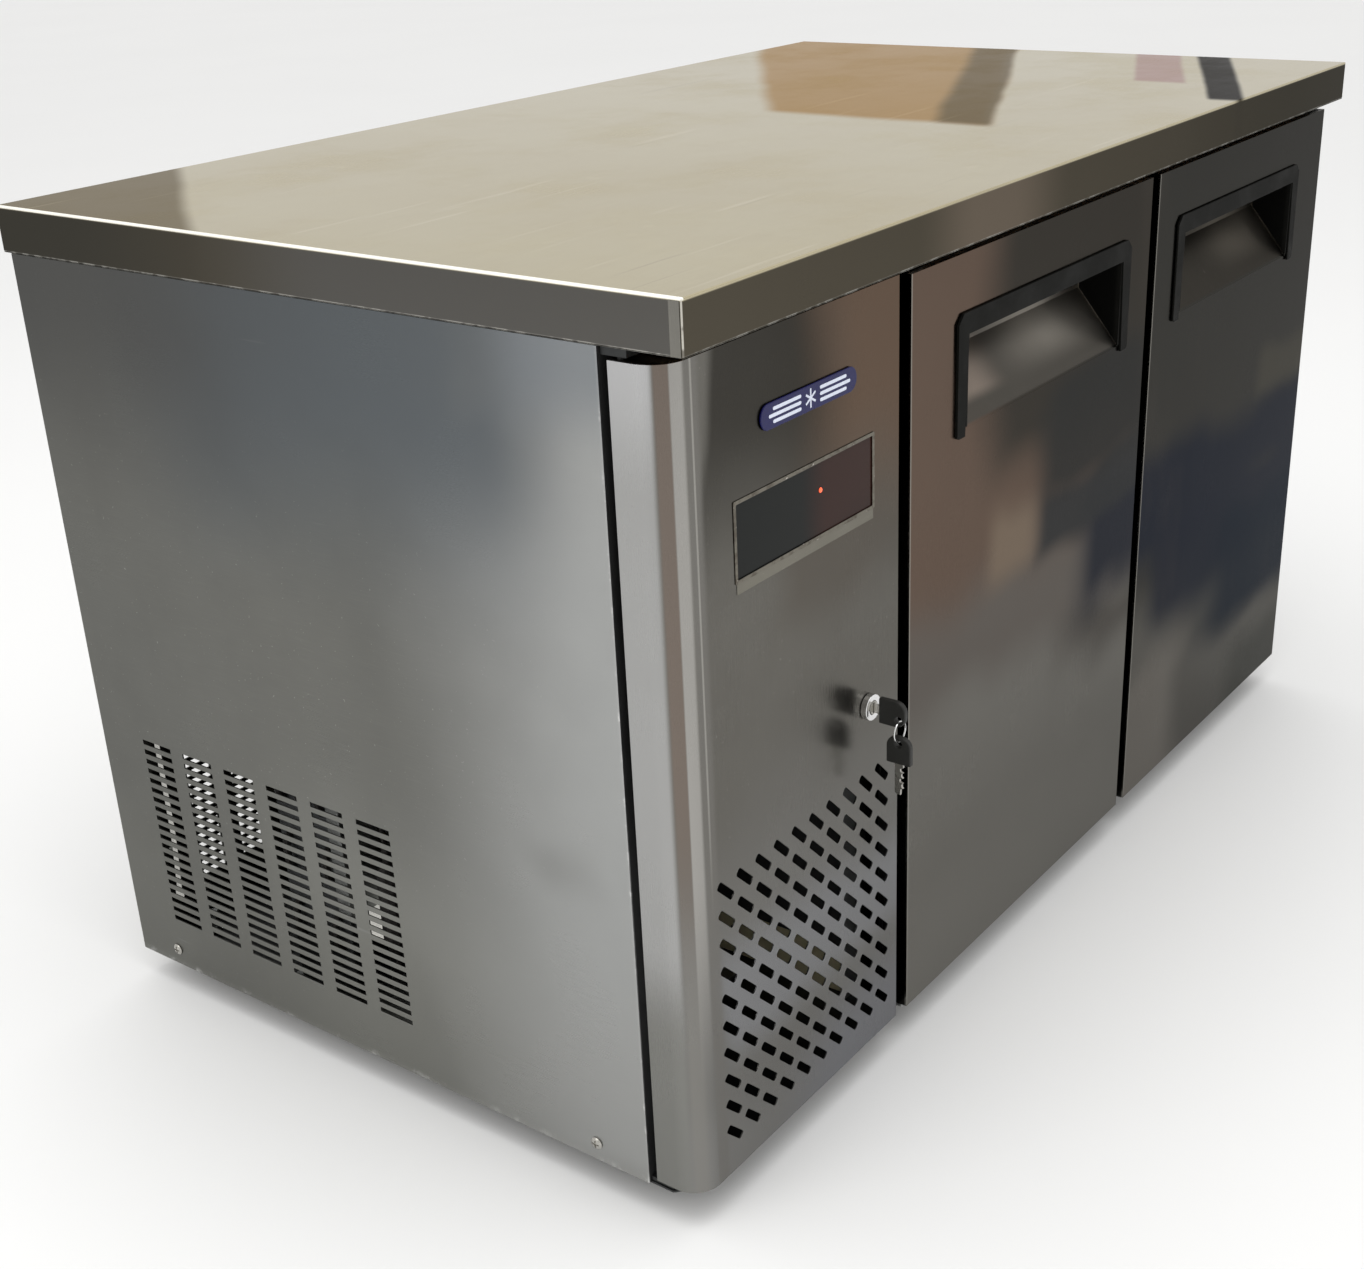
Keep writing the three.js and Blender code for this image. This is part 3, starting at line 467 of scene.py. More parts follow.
camera_data = bpy.data.cameras.new("camera")
camera_data.sensor_width = 36.0
camera_data.lens = 48.74
camera_data.shift_x = -0.0195
camera_data.shift_y = 0.0164
camera_data.clip_end = 100.0
camera = bpy.data.objects.new("camera", camera_data)
camera.location = P(-883.66, -676.05, 1003.86)
camera.rotation_euler = Euler([math.radians(a) for a in (65.624, 2.168, -53.963)])
bpy.context.scene.collection.objects.link(camera)
bpy.context.scene.camera = camera
bpy.context.scene.view_settings.view_transform = "Standard"

world = bpy.data.worlds.new("studio")
bpy.context.scene.world = world
world.use_nodes = True
background = world.node_tree.nodes["Background"]
background.inputs["Strength"].default_value = 1.0
direction = world.node_tree.nodes.new("ShaderNodeTexCoord")
height = world.node_tree.nodes.new("ShaderNodeSeparateXYZ")
sky = world.node_tree.nodes.new("ShaderNodeValToRGB")
sky.color_ramp.elements[0].position = 0.0
sky.color_ramp.elements[0].color = (0.8, 0.79, 0.77, 1)
sky.color_ramp.elements[1].position = 0.75
sky.color_ramp.elements[1].color = (1.0, 1.0, 1.0, 1)
world.node_tree.links.new(direction.outputs["Generated"], height.inputs[0])
world.node_tree.links.new(height.outputs["Z"], sky.inputs["Fac"])
world.node_tree.links.new(sky.outputs["Color"], background.inputs["Color"])


def soft_light(name, place, target, size, power, color=(1, 1, 1)):
    data = bpy.data.lights.new(name, "AREA")
    data.shape = "RECTANGLE"
    data.size, data.size_y = size
    data.energy = power
    data.color = color
    light = bpy.data.objects.new(name, data)
    light.location = place
    light.rotation_euler = (Vector(target) - Vector(place)).to_track_quat("-Z", "Y").to_euler()
    bpy.context.scene.collection.objects.link(light)


soft_light("overhead", (-0.6, -0.4, 3.0), (0, 0, 0.5), (2.6, 2.2), 34)
soft_light("left_side", (-3.0, 0.6, 1.9), (-0.6, 0, 0.4), (1.6, 2.0), 12, (1.0, 0.985, 0.96))
soft_light("front", (0.9, -3.2, 1.8), (0.2, 0, 0.4), (2.2, 1.4), 6)

floor_mesh = bpy.data.meshes.new("floor")
reach = 30.0
ends = [(-reach, -reach, 0), (reach, -reach, 0), (reach, reach, 0), (-reach, reach, 0)]
floor_mesh.from_pydata(ends, [], [(0, 1, 2, 3)])
floor = bpy.data.objects.new("floor", floor_mesh)
bpy.context.scene.collection.objects.link(floor)
floor_look = Shader("floor", (0.86, 0.86, 0.855), 0.7)
floor_look.fleck(floor_look.noise(1.3, detail=3.0), 0.3, 0.8, 0.25, (0.82, 0.82, 0.815))
floor_mesh.materials.append(floor_look.done())


# ---- materials

def worktop_steel():
    """Polished top with painted reflections in slanting patches and long streaks; its aprons are
    darker with painted shade.
    """
    pale, dull = srgb(197, 188, 160), srgb(182, 169, 138)
    s = steel("worktop_steel", pale, 0.1, "X", dull, cloud=0.45, lines=0.02, specks=0.1)
    s.edge = s.rgb((0.88, 0.87, 0.84))
    # Painted reflections on the top: a warm patch with a greyer band inside it, a pink strip, a
    # dark strip and a darker rear-left corner.
    near, slant, strip = ("X", 655, 685), 0.4665, 0.446
    warm_reflection = (near, ("Y", -175, -150, slant), ("Y", -60, -85, 0.7))
    grey_reflection = (near, ("Y", -172, -160, slant), ("Y", -98, -118, slant))
    pink_reflection = (("X", 980, 1000), ("Y", -350, -342, strip), ("Y", -288, -296, strip))
    dark_reflection = (("X", 880, 900), ("Y", -408, -400, strip), ("Y", -364, -372, strip))
    rear_corner_reflection = (("Y", 440, 465, 1.317),)
    painted_reflections = (
        (0.9, 14, (188, 171, 138), (0.64, 0.47, 0.29), warm_reflection),
        (0.85, 10, (158, 149, 128), (0.32, 0.28, 0.22), grey_reflection),
        (0.6, 6, (184, 166, 156), (0.64, 0.45, 0.5), pink_reflection),
        (0.85, 6, (98, 98, 97), (0.02, 0.02, 0.03), dark_reflection),
        (0.75, 10, (142, 134, 117), (0.38, 0.34, 0.28), rear_corner_reflection),
    )
    for strength, wobble, color, edge, spans in painted_reflections:
        reflection_mask = s.zone(strength, *spans, wobble=wobble)
        s.tint(reflection_mask, srgb(*color))
        s.edge = s.mixed(s.edge, reflection_mask, edge)
    # Painted reflections: long pale streaks and darker ones across the top.
    reflected_streak = s.noise(16.0, (0.25, 5, 1), 2.0, 0.5, (0, 0, 28))
    s.fleck(reflected_streak, 0.66, 0.74, 0.35, srgb(222, 214, 192))
    s.fleck(s.noise(12.0, (0.2, 9, 1), 2.0, 0.5, (0, 0, -35)), 0.7, 0.75, 0.3, srgb(150, 140, 120))
    # Painted shade: the aprons below the top edge are darker than the top. Over it, painted
    # reflections: a warm patch and a darker run on the front apron, and on the left apron lighter
    # toward the front and darker toward the rear.
    side = ("Z", 738.6, 737.2)
    apron_shade = s.zone(1.0, side, wobble=0)
    s.edge = s.mixed(s.edge, apron_shade, (0.5, 0.5, 0.5))
    s.tint(s.math("MULTIPLY", apron_shade, 0.98), srgb(78, 73, 64))
    warm_apron_reflection = s.zone(0.75, side, ("X", 280, 380), ("X", 540, 430), ("Y", 40, 10), wobble=0)
    s.tint(warm_apron_reflection, srgb(118, 107, 95))
    s.wash(0.8, (62, 59, 50), side, ("X", 600, 1100), ("Y", 40, 10), wobble=0)
    s.wash(0.8, (93, 92, 90), side, ("X", 30, 1), ("Y", 0.5, 4), ("Y", 480, 300), wobble=0)
    s.wash(0.8, (62, 61, 56), side, ("X", 30, 1), ("Y", 330, 620), wobble=0)
    worn = s.ramp(s.noise(90.0, detail=3.0), 0.42, 0.6, 0.25, 1.0)
    s.wear(worn, 0.7, (180, 178, 172), ("Z", 703.8, 702.9))
    # Painted highlight: a near-white line along the top's left edge, with a white specular tint.
    rim = s.zone(1.0, ("X", 3.0, 2.2), ("Z", 738.0, 738.7), wobble=0)
    s.tint(rim, srgb(250, 248, 240))
    s.edge = s.mixed(s.edge, rim, (1.0, 1.0, 1.0))
    s.roughen(rim, 0.4)
    s.wear(worn, 0.8, (226, 222, 212), ("X", 1.3, 0.7), ("Y", 1.3, 0.7))
    return s.done()


def side_steel():
    """Satin end panel, rubbed at its edges, with painted reflections: paler at its lower front,
    darker above.
    """
    grey, dull = srgb(110, 110, 106), srgb(97, 98, 96)
    s = steel("side_steel", grey, 0.26, "Y", dull, cloud=0.3, lines=0.05, specks=0.35)
    # Painted reflections on the end face: lighter low down and toward the front, bluish and darker
    # patches higher up.
    end = ("X", 40, 10)
    s.wash(0.7, (136, 136, 131), ("Z", 320, 170), ("Y", 560, 360), end)
    s.wash(0.5, (122, 122, 117), ("Z", 240, 120), end)
    s.wash(0.95, (161, 162, 161), ("Y", 330, 70), ("Z", 20, 60), end, wobble=50)
    s.wash(0.5, (160, 160, 158), ("Z", 260, 90), ("Y", 360, 120), end)
    s.wash(0.9, (92, 97, 101), ("Y", 72, 190), ("Y", 640, 420), ("Z", 420, 640), end, wobble=40)
    s.wash(0.8, (84, 84, 83), ("Y", 300, 560), ("Z", 470, 690), end)
    s.wash(0.7, (124, 129, 134), ("Y", 200, 120), ("Z", 620, 690), end, wobble=30)
    rub = s.ramp(s.noise(45.0, detail=5.0, roughness=0.7), 0.52, 0.68, 0.1, 1.0)
    s.wear(rub, 0.8, (220, 220, 218), ("Y", 72.5, 70.4))
    s.wear(rub, 0.6, (206, 206, 204), ("Z", 36, 28))
    s.fleck(s.noise(6.0, (0.4, 1, 14), 2.0, 0.5, (0, 18, 24)), 0.73, 0.78, 0.2, srgb(168, 170, 170))
    return s.done()


def service_steel():
    """Machine-bay door: painted reflections in bands round its rolled corner, and darker and
    browner above.
    """
    grey, dull = srgb(108, 106, 101), srgb(92, 89, 84)
    s = steel("service_steel", grey, 0.2, "Z", dull, cloud=0.35, specks=0.25)
    # Painted reflections on the face: lighter through the middle and low down, darker and browner
    # above, bluish low down.
    s.wash(0.95, (122, 121, 118), ("Z", 400, 260))
    s.wash(0.6, (132, 131, 129), ("Z", 120, 50))
    s.wash(0.6, (90, 84, 77), ("Z", 440, 500), ("X", 80, 160))
    s.wash(0.9, (58, 56, 52), ("Z", 500, 640), ("X", 34, 48), ("X", 240, 160), wobble=40)
    s.wash(0.8, (106, 87, 73), ("Z", 480, 600), ("X", 150, 240))
    s.wash(0.5, (136, 138, 146), ("Z", 150, 60), ("X", 100, 200))
    s.wash(0.7, (142, 143, 146), ("Z", 250, 190), ("Z", 120, 165), ("X", 30, 60), wobble=40)
    # Painted reflections and highlights: light, pinkish and near-white bands round the rolled
    # corner and where it meets the face.
    s.wash(0.7, (122, 120, 116), ("X", 22, 24), ("X", 40, 33), wobble=0)
    wrap = ("X", 4.5, 2.0)
    s.wash(0.9, (162, 162, 161), ("Z", 150, 260), wrap, wobble=0)
    s.wash(0.55, (196, 196, 198), ("Z", 600, 700), wrap, wobble=0)
    s.wash(0.9, (128, 128, 124), ("Z", 260, 140), wrap, wobble=0)
    s.wash(0.85, (118, 107, 99), ("Z", 180, 420), ("X", 3.2, 5.0), ("X", 12.4, 10.8), wobble=0)
    s.wash(0.5, (134, 132, 127), ("Z", 330, 130), ("X", 3.2, 6.0), ("X", 16.0, 10.8), wobble=0)
    s.wash(0.95, (158, 156, 152), ("Z", 120, 330), ("X", 10.8, 12.2), ("X", 24.0, 19.5), wobble=0)
    s.wash(0.4, (190, 188, 182), ("Z", 260, 400), ("X", 28.0, 29.0), ("X", 31.0, 30.0), wobble=0)
    return s.done()


def door_steel(name, left, low, pocket_shade, painted_reflections):
    """A door skin whose left edge is at left, with its handle pocket in a painted shade colour.

    Each blurred painted reflection is (strength, wobble, colour, spans), painted over the plain low
    colour.
    """
    plain = srgb(*low)
    dull = tuple(c * 0.9 for c in plain)
    s = steel(name, plain, 0.14, "Z", dull, cloud=0.4, lines=0.012, specks=0.18)
    # Painted light: lighter toward the bottom. Over it, the painted reflections of the room.
    s.wash(0.6, tuple(c + 12 for c in low), ("Z", 190, 60))
    for strength, wobble, color, spans in painted_reflections:
        s.wash(strength, color, *spans, wobble=wobble)
    # Painted shade: the handle pocket's slope is darker than the door. Deeper in the pocket,
    # painted light makes it lighter again.
    sunk = s.zone(0.9, ("Y", 18.6, 20.5), ("X", left + 4, left + 6), wobble=0)
    s.tint(sunk, srgb(*pocket_shade))
    deep_pocket_light = tuple(c * 1.7 for c in pocket_shade)
    s.wash(0.9, deep_pocket_light, ("Y", 24, 48), ("X", left + 160, left + 290), wobble=0)
    s.roughen(sunk, 0.2)
    clouds = s.noise(5.0, (1, 1, 0.35), 4.0, 0.6, offset=(9, 1, 4))
    s.fleck(clouds, 0.52, 0.75, 0.16, srgb(100, 92, 84))
    hairlines = s.noise(26.0, (3, 3, 0.2), 2.0, 0.5, (0, 12, 0))
    s.fleck(hairlines, 0.72, 0.77, 0.16, srgb(140, 134, 126))
    # Painted highlight along the door's left front edge, and painted shade that makes its left side
    # nearly black where it faces the gap.
    s.wash(0.6, (160, 157, 150), ("X", left + 1.8, left + 1.0), ("Y", 20.0, 19.2), wobble=0)
    s.wash(0.9, (16, 16, 15), ("X", left + 1.2, left + 0.5), ("Y", 19.4, 20.4), wobble=0)
    return s


WORKTOP_STEEL = worktop_steel()
SIDE_STEEL = side_steel()
SERVICE_STEEL = service_steel()
# Painted reflection: a pale band across the left door.
PALE_REFLECTION_BAND = (("Z", 370, 410), ("Z", 470, 430))
left_steel = door_steel(
    "left_door_steel",
    308.0,
    (119, 117, 112),
    (88, 85, 80),
    # Painted reflections of the room on the left door.
    (
        (1.0, 90, (104, 99, 94), (("Z", 250, 330),)),
        (1.0, 90, (104, 89, 79), (("Z", 350, 480),)),
        (0.9, 60, (84, 81, 77), (("X", 560, 680), ("Z", 190, 260), ("Z", 320, 280))),
        (0.95, 60, (46, 49, 57), (("X", 585, 650), ("Z", 265, 320), ("Z", 460, 400))),
        (0.95, 50, (60, 61, 62), (("X", 530, 575), ("Z", 370, 400), ("Z", 470, 430))),
        (0.95, 50, (62, 60, 56), (("X", 395, 480), ("Z", 440, 510))),
        (0.95, 50, (58, 58, 57), (("X", 520, 590), ("Z", 420, 465), ("Z", 560, 520))),
        (0.9, 40, (126, 112, 98), (("X", 440, 480), ("X", 560, 510), *PALE_REFLECTION_BAND)),
    ),
)
# Painted reflection: a lighter patch on the left door's handle pocket.
pocket_reflection = (("X", 380, 390), ("X", 500, 440), ("Z", 556, 566), ("Z", 606, 596), ("Y", 18.6, 20.5))
left_steel.wash(0.85, (146, 134, 124), *pocket_reflection, wobble=6)
LEFT_DOOR_STEEL = left_steel.done()
RIGHT_DOOR_STEEL = door_steel(
    "right_door_steel",
    762.0,
    (119, 115, 109),
    (66, 63, 58),
    # Painted reflections of the room on the right door: lighter and darker patches, some bluish.
    (
        (0.85, 60, (92, 91, 87), (("X", 840, 920), ("Z", 210, 120))),
        (0.9, 60, (76, 76, 74), (("X", 880, 940), ("Z", 130, 170))),
        (0.7, 60, (88, 87, 83), (("Z", 150, 220),)),
        (0.95, 50, (80, 80, 76), (("X", 1000, 1090), ("Z", 130, 80))),
        (1.0, 60, (64, 63, 60), (("Z", 180, 280),)),
        (0.95, 50, (40, 44, 54), (("Z", 270, 320), ("Z", 420, 370))),
        (0.95, 50, (40, 44, 54), (("X", 780, 830), ("Z", 180, 240), ("Z", 330, 300))),
        (0.95, 50, (32, 40, 51), (("X", 900, 1030), ("Z", 100, 150), ("Z", 290, 240))),
        (0.6, 30, (84, 81, 72), (("X", 1050, 1090), ("Z", 380, 410), ("Z", 470, 440))),
    ),
).done()

INNER_STEEL = steel("inner_steel", srgb(176, 178, 178), 0.3, "Z", cloud=0.3).done()
FOAM = plastic("foam", (0.78, 0.7, 0.45), 0.85, 220.0, 0.5).done()
divider = plastic("shaded_faced_foam", (0.78, 0.7, 0.45), 0.8, 220.0, 0.3)
# The divider's end face toward the machine bay stands for a steel facing, painted dark grey as
# shaded.
divider.wash(1.0, (58, 58, 57), ("X", 301.4, 300.6), wobble=0)
SHADED_FACED_FOAM = divider.done()
WOOD = Shader("board", srgb(150, 118, 82), 0.75)
WOOD.tint(WOOD.ramp(WOOD.noise(40.0, (1, 30, 30), 3.0), 0.4, 0.7), srgb(112, 84, 54))
WOOD_CORE = WOOD.done()
INNER_PLASTIC = plastic("inner_plastic", srgb(222, 222, 216), 0.35, 600.0, 0.06).done()
black = plastic("black_plastic", srgb(36, 36, 34), 0.5, 900.0, 0.1)
black.bsdf.inputs["Specular IOR Level"].default_value = 0.3
BLACK_PLASTIC = black.done()
handle = plastic("handle_plastic", srgb(17, 17, 15), 0.66, 700.0, 0.12)
# Painted shade: nearly black where the handle sits back in its pocket.
handle.wash(0.9, (4, 4, 3), ("Y", 19, 23), wobble=0)
handle.bsdf.inputs["Specular IOR Level"].default_value = 0.07
HANDLE_PLASTIC = handle.done()
RUBBER = plastic("rubber", srgb(34, 34, 34), 0.72, 400.0, 0.2).done()
SEAL_RUBBER = plastic("seal_rubber", srgb(60, 60, 62), 0.6, 300.0, 0.12).done()
WHITE_COAT = plastic("coated_wire", srgb(232, 232, 228), 0.3, 300.0, 0.06).done()
CHROME = paint("chrome", srgb(226, 226, 226), 0.08, 1.0).done()
NICKEL = paint("nickel", srgb(178, 176, 170), 0.2, 1.0).done()
ZINC = paint("zinc_plate", srgb(150, 152, 150), 0.38, 1.0).done()
BLACK_ENAMEL = paint("black_enamel", srgb(30, 30, 31), 0.3).done()
ALUMINIUM = paint("aluminium", srgb(206, 208, 210), 0.34, 1.0).done()
# Painted shade: a darker copy of the zinc plate, for the base pan in its shade and for the
# machine-bay door's hinges.
SHADED_ZINC = paint("shaded_zinc", srgb(66, 67, 67), 0.45, 1.0).done()
COPPER = paint("copper", srgb(150, 92, 64), 0.34, 1.0).done()
BLACK_TUBE = paint("black_tube", srgb(44, 40, 38), 0.4, 0.4).done()
# Painted shade: a darker copy of the aluminium, for the condenser fins behind the louvres.
SHADED_FINS = paint("shaded_fins", srgb(96, 98, 99), 0.5, 1.0).done()
# Painted light: the white PVC glows faintly, though it is no lamp.
glowing_pvc = plastic("glowing_white_pvc", srgb(226, 224, 216), 0.45)
glowing_pvc.bsdf.inputs["Emission Color"].default_value = (0.8, 0.79, 0.74, 1)
glowing_pvc.bsdf.inputs["Emission Strength"].default_value = 0.45
GLOWING_WHITE_PVC = glowing_pvc.done()

glass = Shader("display_glass", srgb(24, 26, 25), 0.16)
# Painted glow: the glass turns reddish round the red indicator behind it.
glass.wash(0.9, (52, 32, 27), ("X", 150, 190), wobble=20)
glass.fleck(glass.noise(14.0, detail=4.0), 0.4, 0.75, 0.4, srgb(22, 20, 19))
glass.roughen(glass.ramp(glass.noise(60.0, detail=4.0), 0.5, 0.8), 0.12)
glass.bsdf.inputs["Specular IOR Level"].default_value = 0.08
DISPLAY_GLASS = glass.done()

lip = Shader("display_lip", srgb(122, 118, 109), 0.34, 1.0)
lip.fleck(lip.noise(120.0, detail=4.0, roughness=0.7), 0.45, 0.65, 0.8, srgb(88, 82, 74))
lip.tint(lip.ramp(lip.noise(240.0, detail=2.0), 0.66, 0.76), srgb(232, 228, 220))
lip.edge = lip.rgb((0.6, 0.6, 0.6))
lip.bump(lip.noise(300.0, detail=2.0), 0.4, 0.0004)
DISPLAY_LIP = lip.done()
DISPLAY_STRIP = steel("display_strip", srgb(128, 125, 116), 0.3, "X", specks=0.2).done()

blue = plastic("badge_blue", srgb(13, 13, 74), 0.3, 300.0, 0.02)
blue.bsdf.inputs["Specular IOR Level"].default_value = 0.25
BADGE_BLUE = blue.done()
white = plastic("badge_white", srgb(214, 220, 236), 0.35, 300.0, 0.02)
white.bsdf.inputs["Specular IOR Level"].default_value = 0.3
BADGE_WHITE = white.done()

led = Shader("led", (0.8, 0.05, 0.02), 0.3)
led.fleck(led.noise(500.0), 0.4, 0.7, 0.3, (1.0, 0.2, 0.08))
led.bsdf.inputs["Emission Color"].default_value = (1.0, 0.12, 0.04, 1)
led.bsdf.inputs["Emission Strength"].default_value = 1.3
LED_RED = led.done()


# ---- worktop and casing

dress("worktop", WORKTOP_STEEL, 1.4, 3)
dress("worktop_core", WOOD_CORE)
dress("left_side_panel", SIDE_STEEL, 0.35, 2)
dress("right_side_panel", SIDE_STEEL, 0.5, 2)
dress("back_panel", SIDE_STEEL, 0.2, 1)
dress("base_pan", SHADED_ZINC, 0.4, 1)
dress("cord_gland", BLACK_PLASTIC, 0.5, 2)
for name in ("floor", "ceiling", "end", "back"):
    dress(f"{name}_insulation", FOAM)
dress("divider_insulation", SHADED_FACED_FOAM)
dress("liner", INNER_STEEL, 0.3, 1)
dress("centre_mullion", INNER_STEEL, 1.0, 2)
for door, skin in (("left_door", LEFT_DOOR_STEEL), ("right_door", RIGHT_DOOR_STEEL)):
    dress(f"{door}_skin", skin, 0.7, 2)
    dress(f"{door}_core", INNER_PLASTIC)
    dress(f"{door}_handle", HANDLE_PLASTIC, 0.8, 3, 25.0)
    for end in ("top", "bottom"):
        dress(f"{door}_{end}_hinge", ZINC, 0.6, 2)
dress("service_top_hinge", SHADED_ZINC, 0.5, 2)
dress("service_bottom_hinge", SHADED_ZINC, 0.5, 2)
dress("display_window", DISPLAY_GLASS, 0.3, 2)
dress("controller", BLACK_PLASTIC, 1.0, 2)
dress("lock_body", CHROME, 0.7, 3)
dress("lock_plug", NICKEL, 0.3, 2)
dress("lock_cam", ZINC, 0.4, 2)
dress("lock_keeper", ZINC, 0.4, 2)
dress("unit_base", ZINC, 0.5, 2)
dress("condenser", ALUMINIUM)
dress("fan_shroud", ZINC, 0.5, 2)
dress("condenser_fan_motor", BLACK_ENAMEL, 1.0, 2)
dress("compressor", BLACK_ENAMEL)
dress("evaporator", ALUMINIUM)
dress("evaporator_cover", INNER_STEEL, 0.6, 2)
dress("evaporator_fan_motor", BLACK_ENAMEL, 0.8, 2)
dress("filter_drier", BLACK_TUBE)
dress("discharge_pipe", COPPER)
dress("suction_pipe", COPPER)


# ---- service door

DOOR = mm("service_door")
FACE = DOOR.y0
SHEET = 1.5
CORNER_R = 24.0
RETURN = 18.0
GRID = {"columns": 10, "rows": 10, "x": 46.0, "top": 290.0, "pitch": 24.35}
HINGE_PIN = (9, 57, 0)


def slot_outline(cx, cz):
    """One diagonal slot with rounded corners, falling from upper left to lower right."""
    turn = math.radians(-45)
    return [
        (cx + u * math.cos(turn) - v * math.sin(turn), cz + u * math.sin(turn) + v * math.cos(turn))
        for u, v in rounded(-12.5, -3.4, 12.5, 3.4, 2.2, 3)
    ]


def make_service_door():
    """The sheet, wrapped round the corner and pierced, and the two flanges that close its ends."""
    corner = (DOOR.x0 + CORNER_R, FACE + CORNER_R)
    outer = (
        [(DOOR.x0, DOOR.y1)]
        + arc(*corner, CORNER_R, 180, 270, 14)
        + [(DOOR.x1 - 1.0, FACE), (DOOR.x1, FACE + 1.0), (DOOR.x1, FACE + RETURN)]
    )
    fold = [(DOOR.x1 - SHEET, FACE + RETURN), (DOOR.x1 - SHEET, FACE + SHEET)]
    inner = fold + arc(*corner, CORNER_R - SHEET, 270, 180, 14) + [(DOOR.x0 + SHEET, DOOR.y1)]
    solid = Builder().prism(outer + inner, "Z", DOOR.z0, DOOR.z1)
    cutters = Builder()
    through = (FACE - 2, FACE + 4)
    for column in range(GRID["columns"]):
        for row in range(GRID["rows"]):
            cx = GRID["x"] + column * GRID["pitch"]
            cz = GRID["top"] - row * GRID["pitch"]
            cutters.prism(slot_outline(cx, cz), "Y", *through)
    window, gap = mm("display_window"), 0.3
    hole = rounded(window.x0 - gap, window.z0 - gap, window.x1 + gap, window.z1 + gap, 1.2, 2)
    cutters.prism(hole, "Y", *through)
    plug = mm("lock_plug")
    lock = ((plug.x0 + plug.x1) / 2, 0, (plug.z0 + plug.z1) / 2)
    cutters.lathe([(9.7, y) for y in through], lock, "Y", 24)
    mesh = carve("service_door_sheet", solid, cutters)
    body, slot = "service_door", "panel_steel"
    add_piece("service_door_sheet", mesh, SERVICE_STEEL, body, 0.25, 1, ("service_door",))

    flange = (
        arc(*corner, CORNER_R - SHEET, 180, 270, 10)
        + fold[::-1]
        + [(30, FACE + RETURN), (30, DOOR.y1), (DOOR.x0 + SHEET, DOOR.y1)]
    )
    low, high = DOOR.z0 + 0.4, DOOR.z1 - 0.4
    for tag, a, b in (("bottom", low, low + SHEET), ("top", high - SHEET, high)):
        bore = Builder().lathe([(3.5, a - 1), (3.5, b + 1)], HINGE_PIN, "Z", 16)
        name = f"service_door_{tag}_flange"
        mesh = carve(name, Builder().prism(flange, "Z", a, b), bore)
        add_piece(name, mesh, SERVICE_STEEL, body, 0.2, 1)


make_service_door()


def ring_plate(outer, inner, y_front, y_back):
    """A flat frame between two outlines of equal point count, as a builder."""
    outlines = ((outer, y_back), (outer, y_front), (inner, y_front), (inner, y_back))
    loops = [[(u, y, v) for u, v in outline] for outline, y in outlines]
    return Builder().face_loops(loops, caps=False)


def make_display():
    """The window's proud rough lip, a paler strip under it, and one indicator behind the glass."""
    glass = mm("display_window")
    body, slot = "service_door", "panel_steel"
    outer = rounded(glass.x0 - 1.7, glass.z0 - 1.7, glass.x1 + 1.7, glass.z1 + 1.7, 1.5)
    inner = rounded(glass.x0 + 1.2, glass.z0 + 1.2, glass.x1 - 1.2, glass.z1 - 1.2, 1.0)
    lip = ring_plate(outer, inner, FACE - 0.8, FACE - 0.05)
    lip.object("display_lip", DISPLAY_LIP, body, slot, 0.3, 2)
    strip = Builder().box(
        glass.x0, FACE - 0.45, glass.z0 - 9.5, glass.x1, FACE - 0.05, glass.z0 - 1.75
    )
    strip.object("display_strip", DISPLAY_STRIP, body, slot, 0.2, 2)
    dome = [(0, 0), (1.9, 0), (1.8, -0.5), (1.2, -0.9), (0, -1.0)]
    led = Builder().lathe(dome, (180.0, glass.y0 - 0.02, 559.0), "Y", 20)
    led.object("display_led", LED_RED, body, "dark_glass")


make_display()


def make_badge():
    """A pill with a plain raised mark: a six-armed star between two sets of three bars."""
    pill = mm("badge")
    cx, cz = (pill.x0 + pill.x1) / 2, (pill.z0 + pill.z1) / 2
    outline = rounded(pill.x0, pill.z0, pill.x1, pill.z1, (pill.z1 - pill.z0) / 2 - 0.2, 10)
    body, slot = "service_door", "blue_plastic"
    plate = Builder().prism(outline, "Y", pill.y0 + 0.3, pill.y1)
    plate.object("badge_plate", BADGE_BLUE, body, slot, 0.6, 3, stands_for=("badge",))
    mark = Builder()
    front, back = pill.y0 + 0.05, pill.y0 + 0.28
    arm = [(-7.0, -0.8), (7.0, -0.8), (7.0, 0.8), (-7.0, 0.8)]
    for k in range(3):
        a = math.radians(60 * k + 30)
        u, v = math.cos(a), math.sin(a)
        turned = [(cx + p * u - q * v, cz + p * v + q * u) for p, q in arm]
        mark.prism(turned, "Y", front - 0.02 * k, back)
    for direction in (-1, 1):
        for row, end in enumerate((47, 52, 47)):
            a, b = sorted((cx + direction * 12, cx + direction * end))
            z = cz + (row - 1) * 4.6
            mark.prism(rounded(a, z - 1.25, b, z + 1.25, 1.2, 3), "Y", front, back)
    mark.object("badge_mark", BADGE_WHITE, body, slot)


make_badge()


# ---- lock and keys

LOCK_X, LOCK_Z = 243.0, 359.0
EYE_Y = -12.0


def bow_outline():
    """The outline of a key's bow, square at the blade and rounded at its outer end."""
    return (
        [(24.0, -11.0), (24.0, 11.0)]
        + arc(9.0, 2.0, 9.0, 90, 180, 8)
        + arc(9.0, -2.0, 9.0, 180, 270, 8)
    )


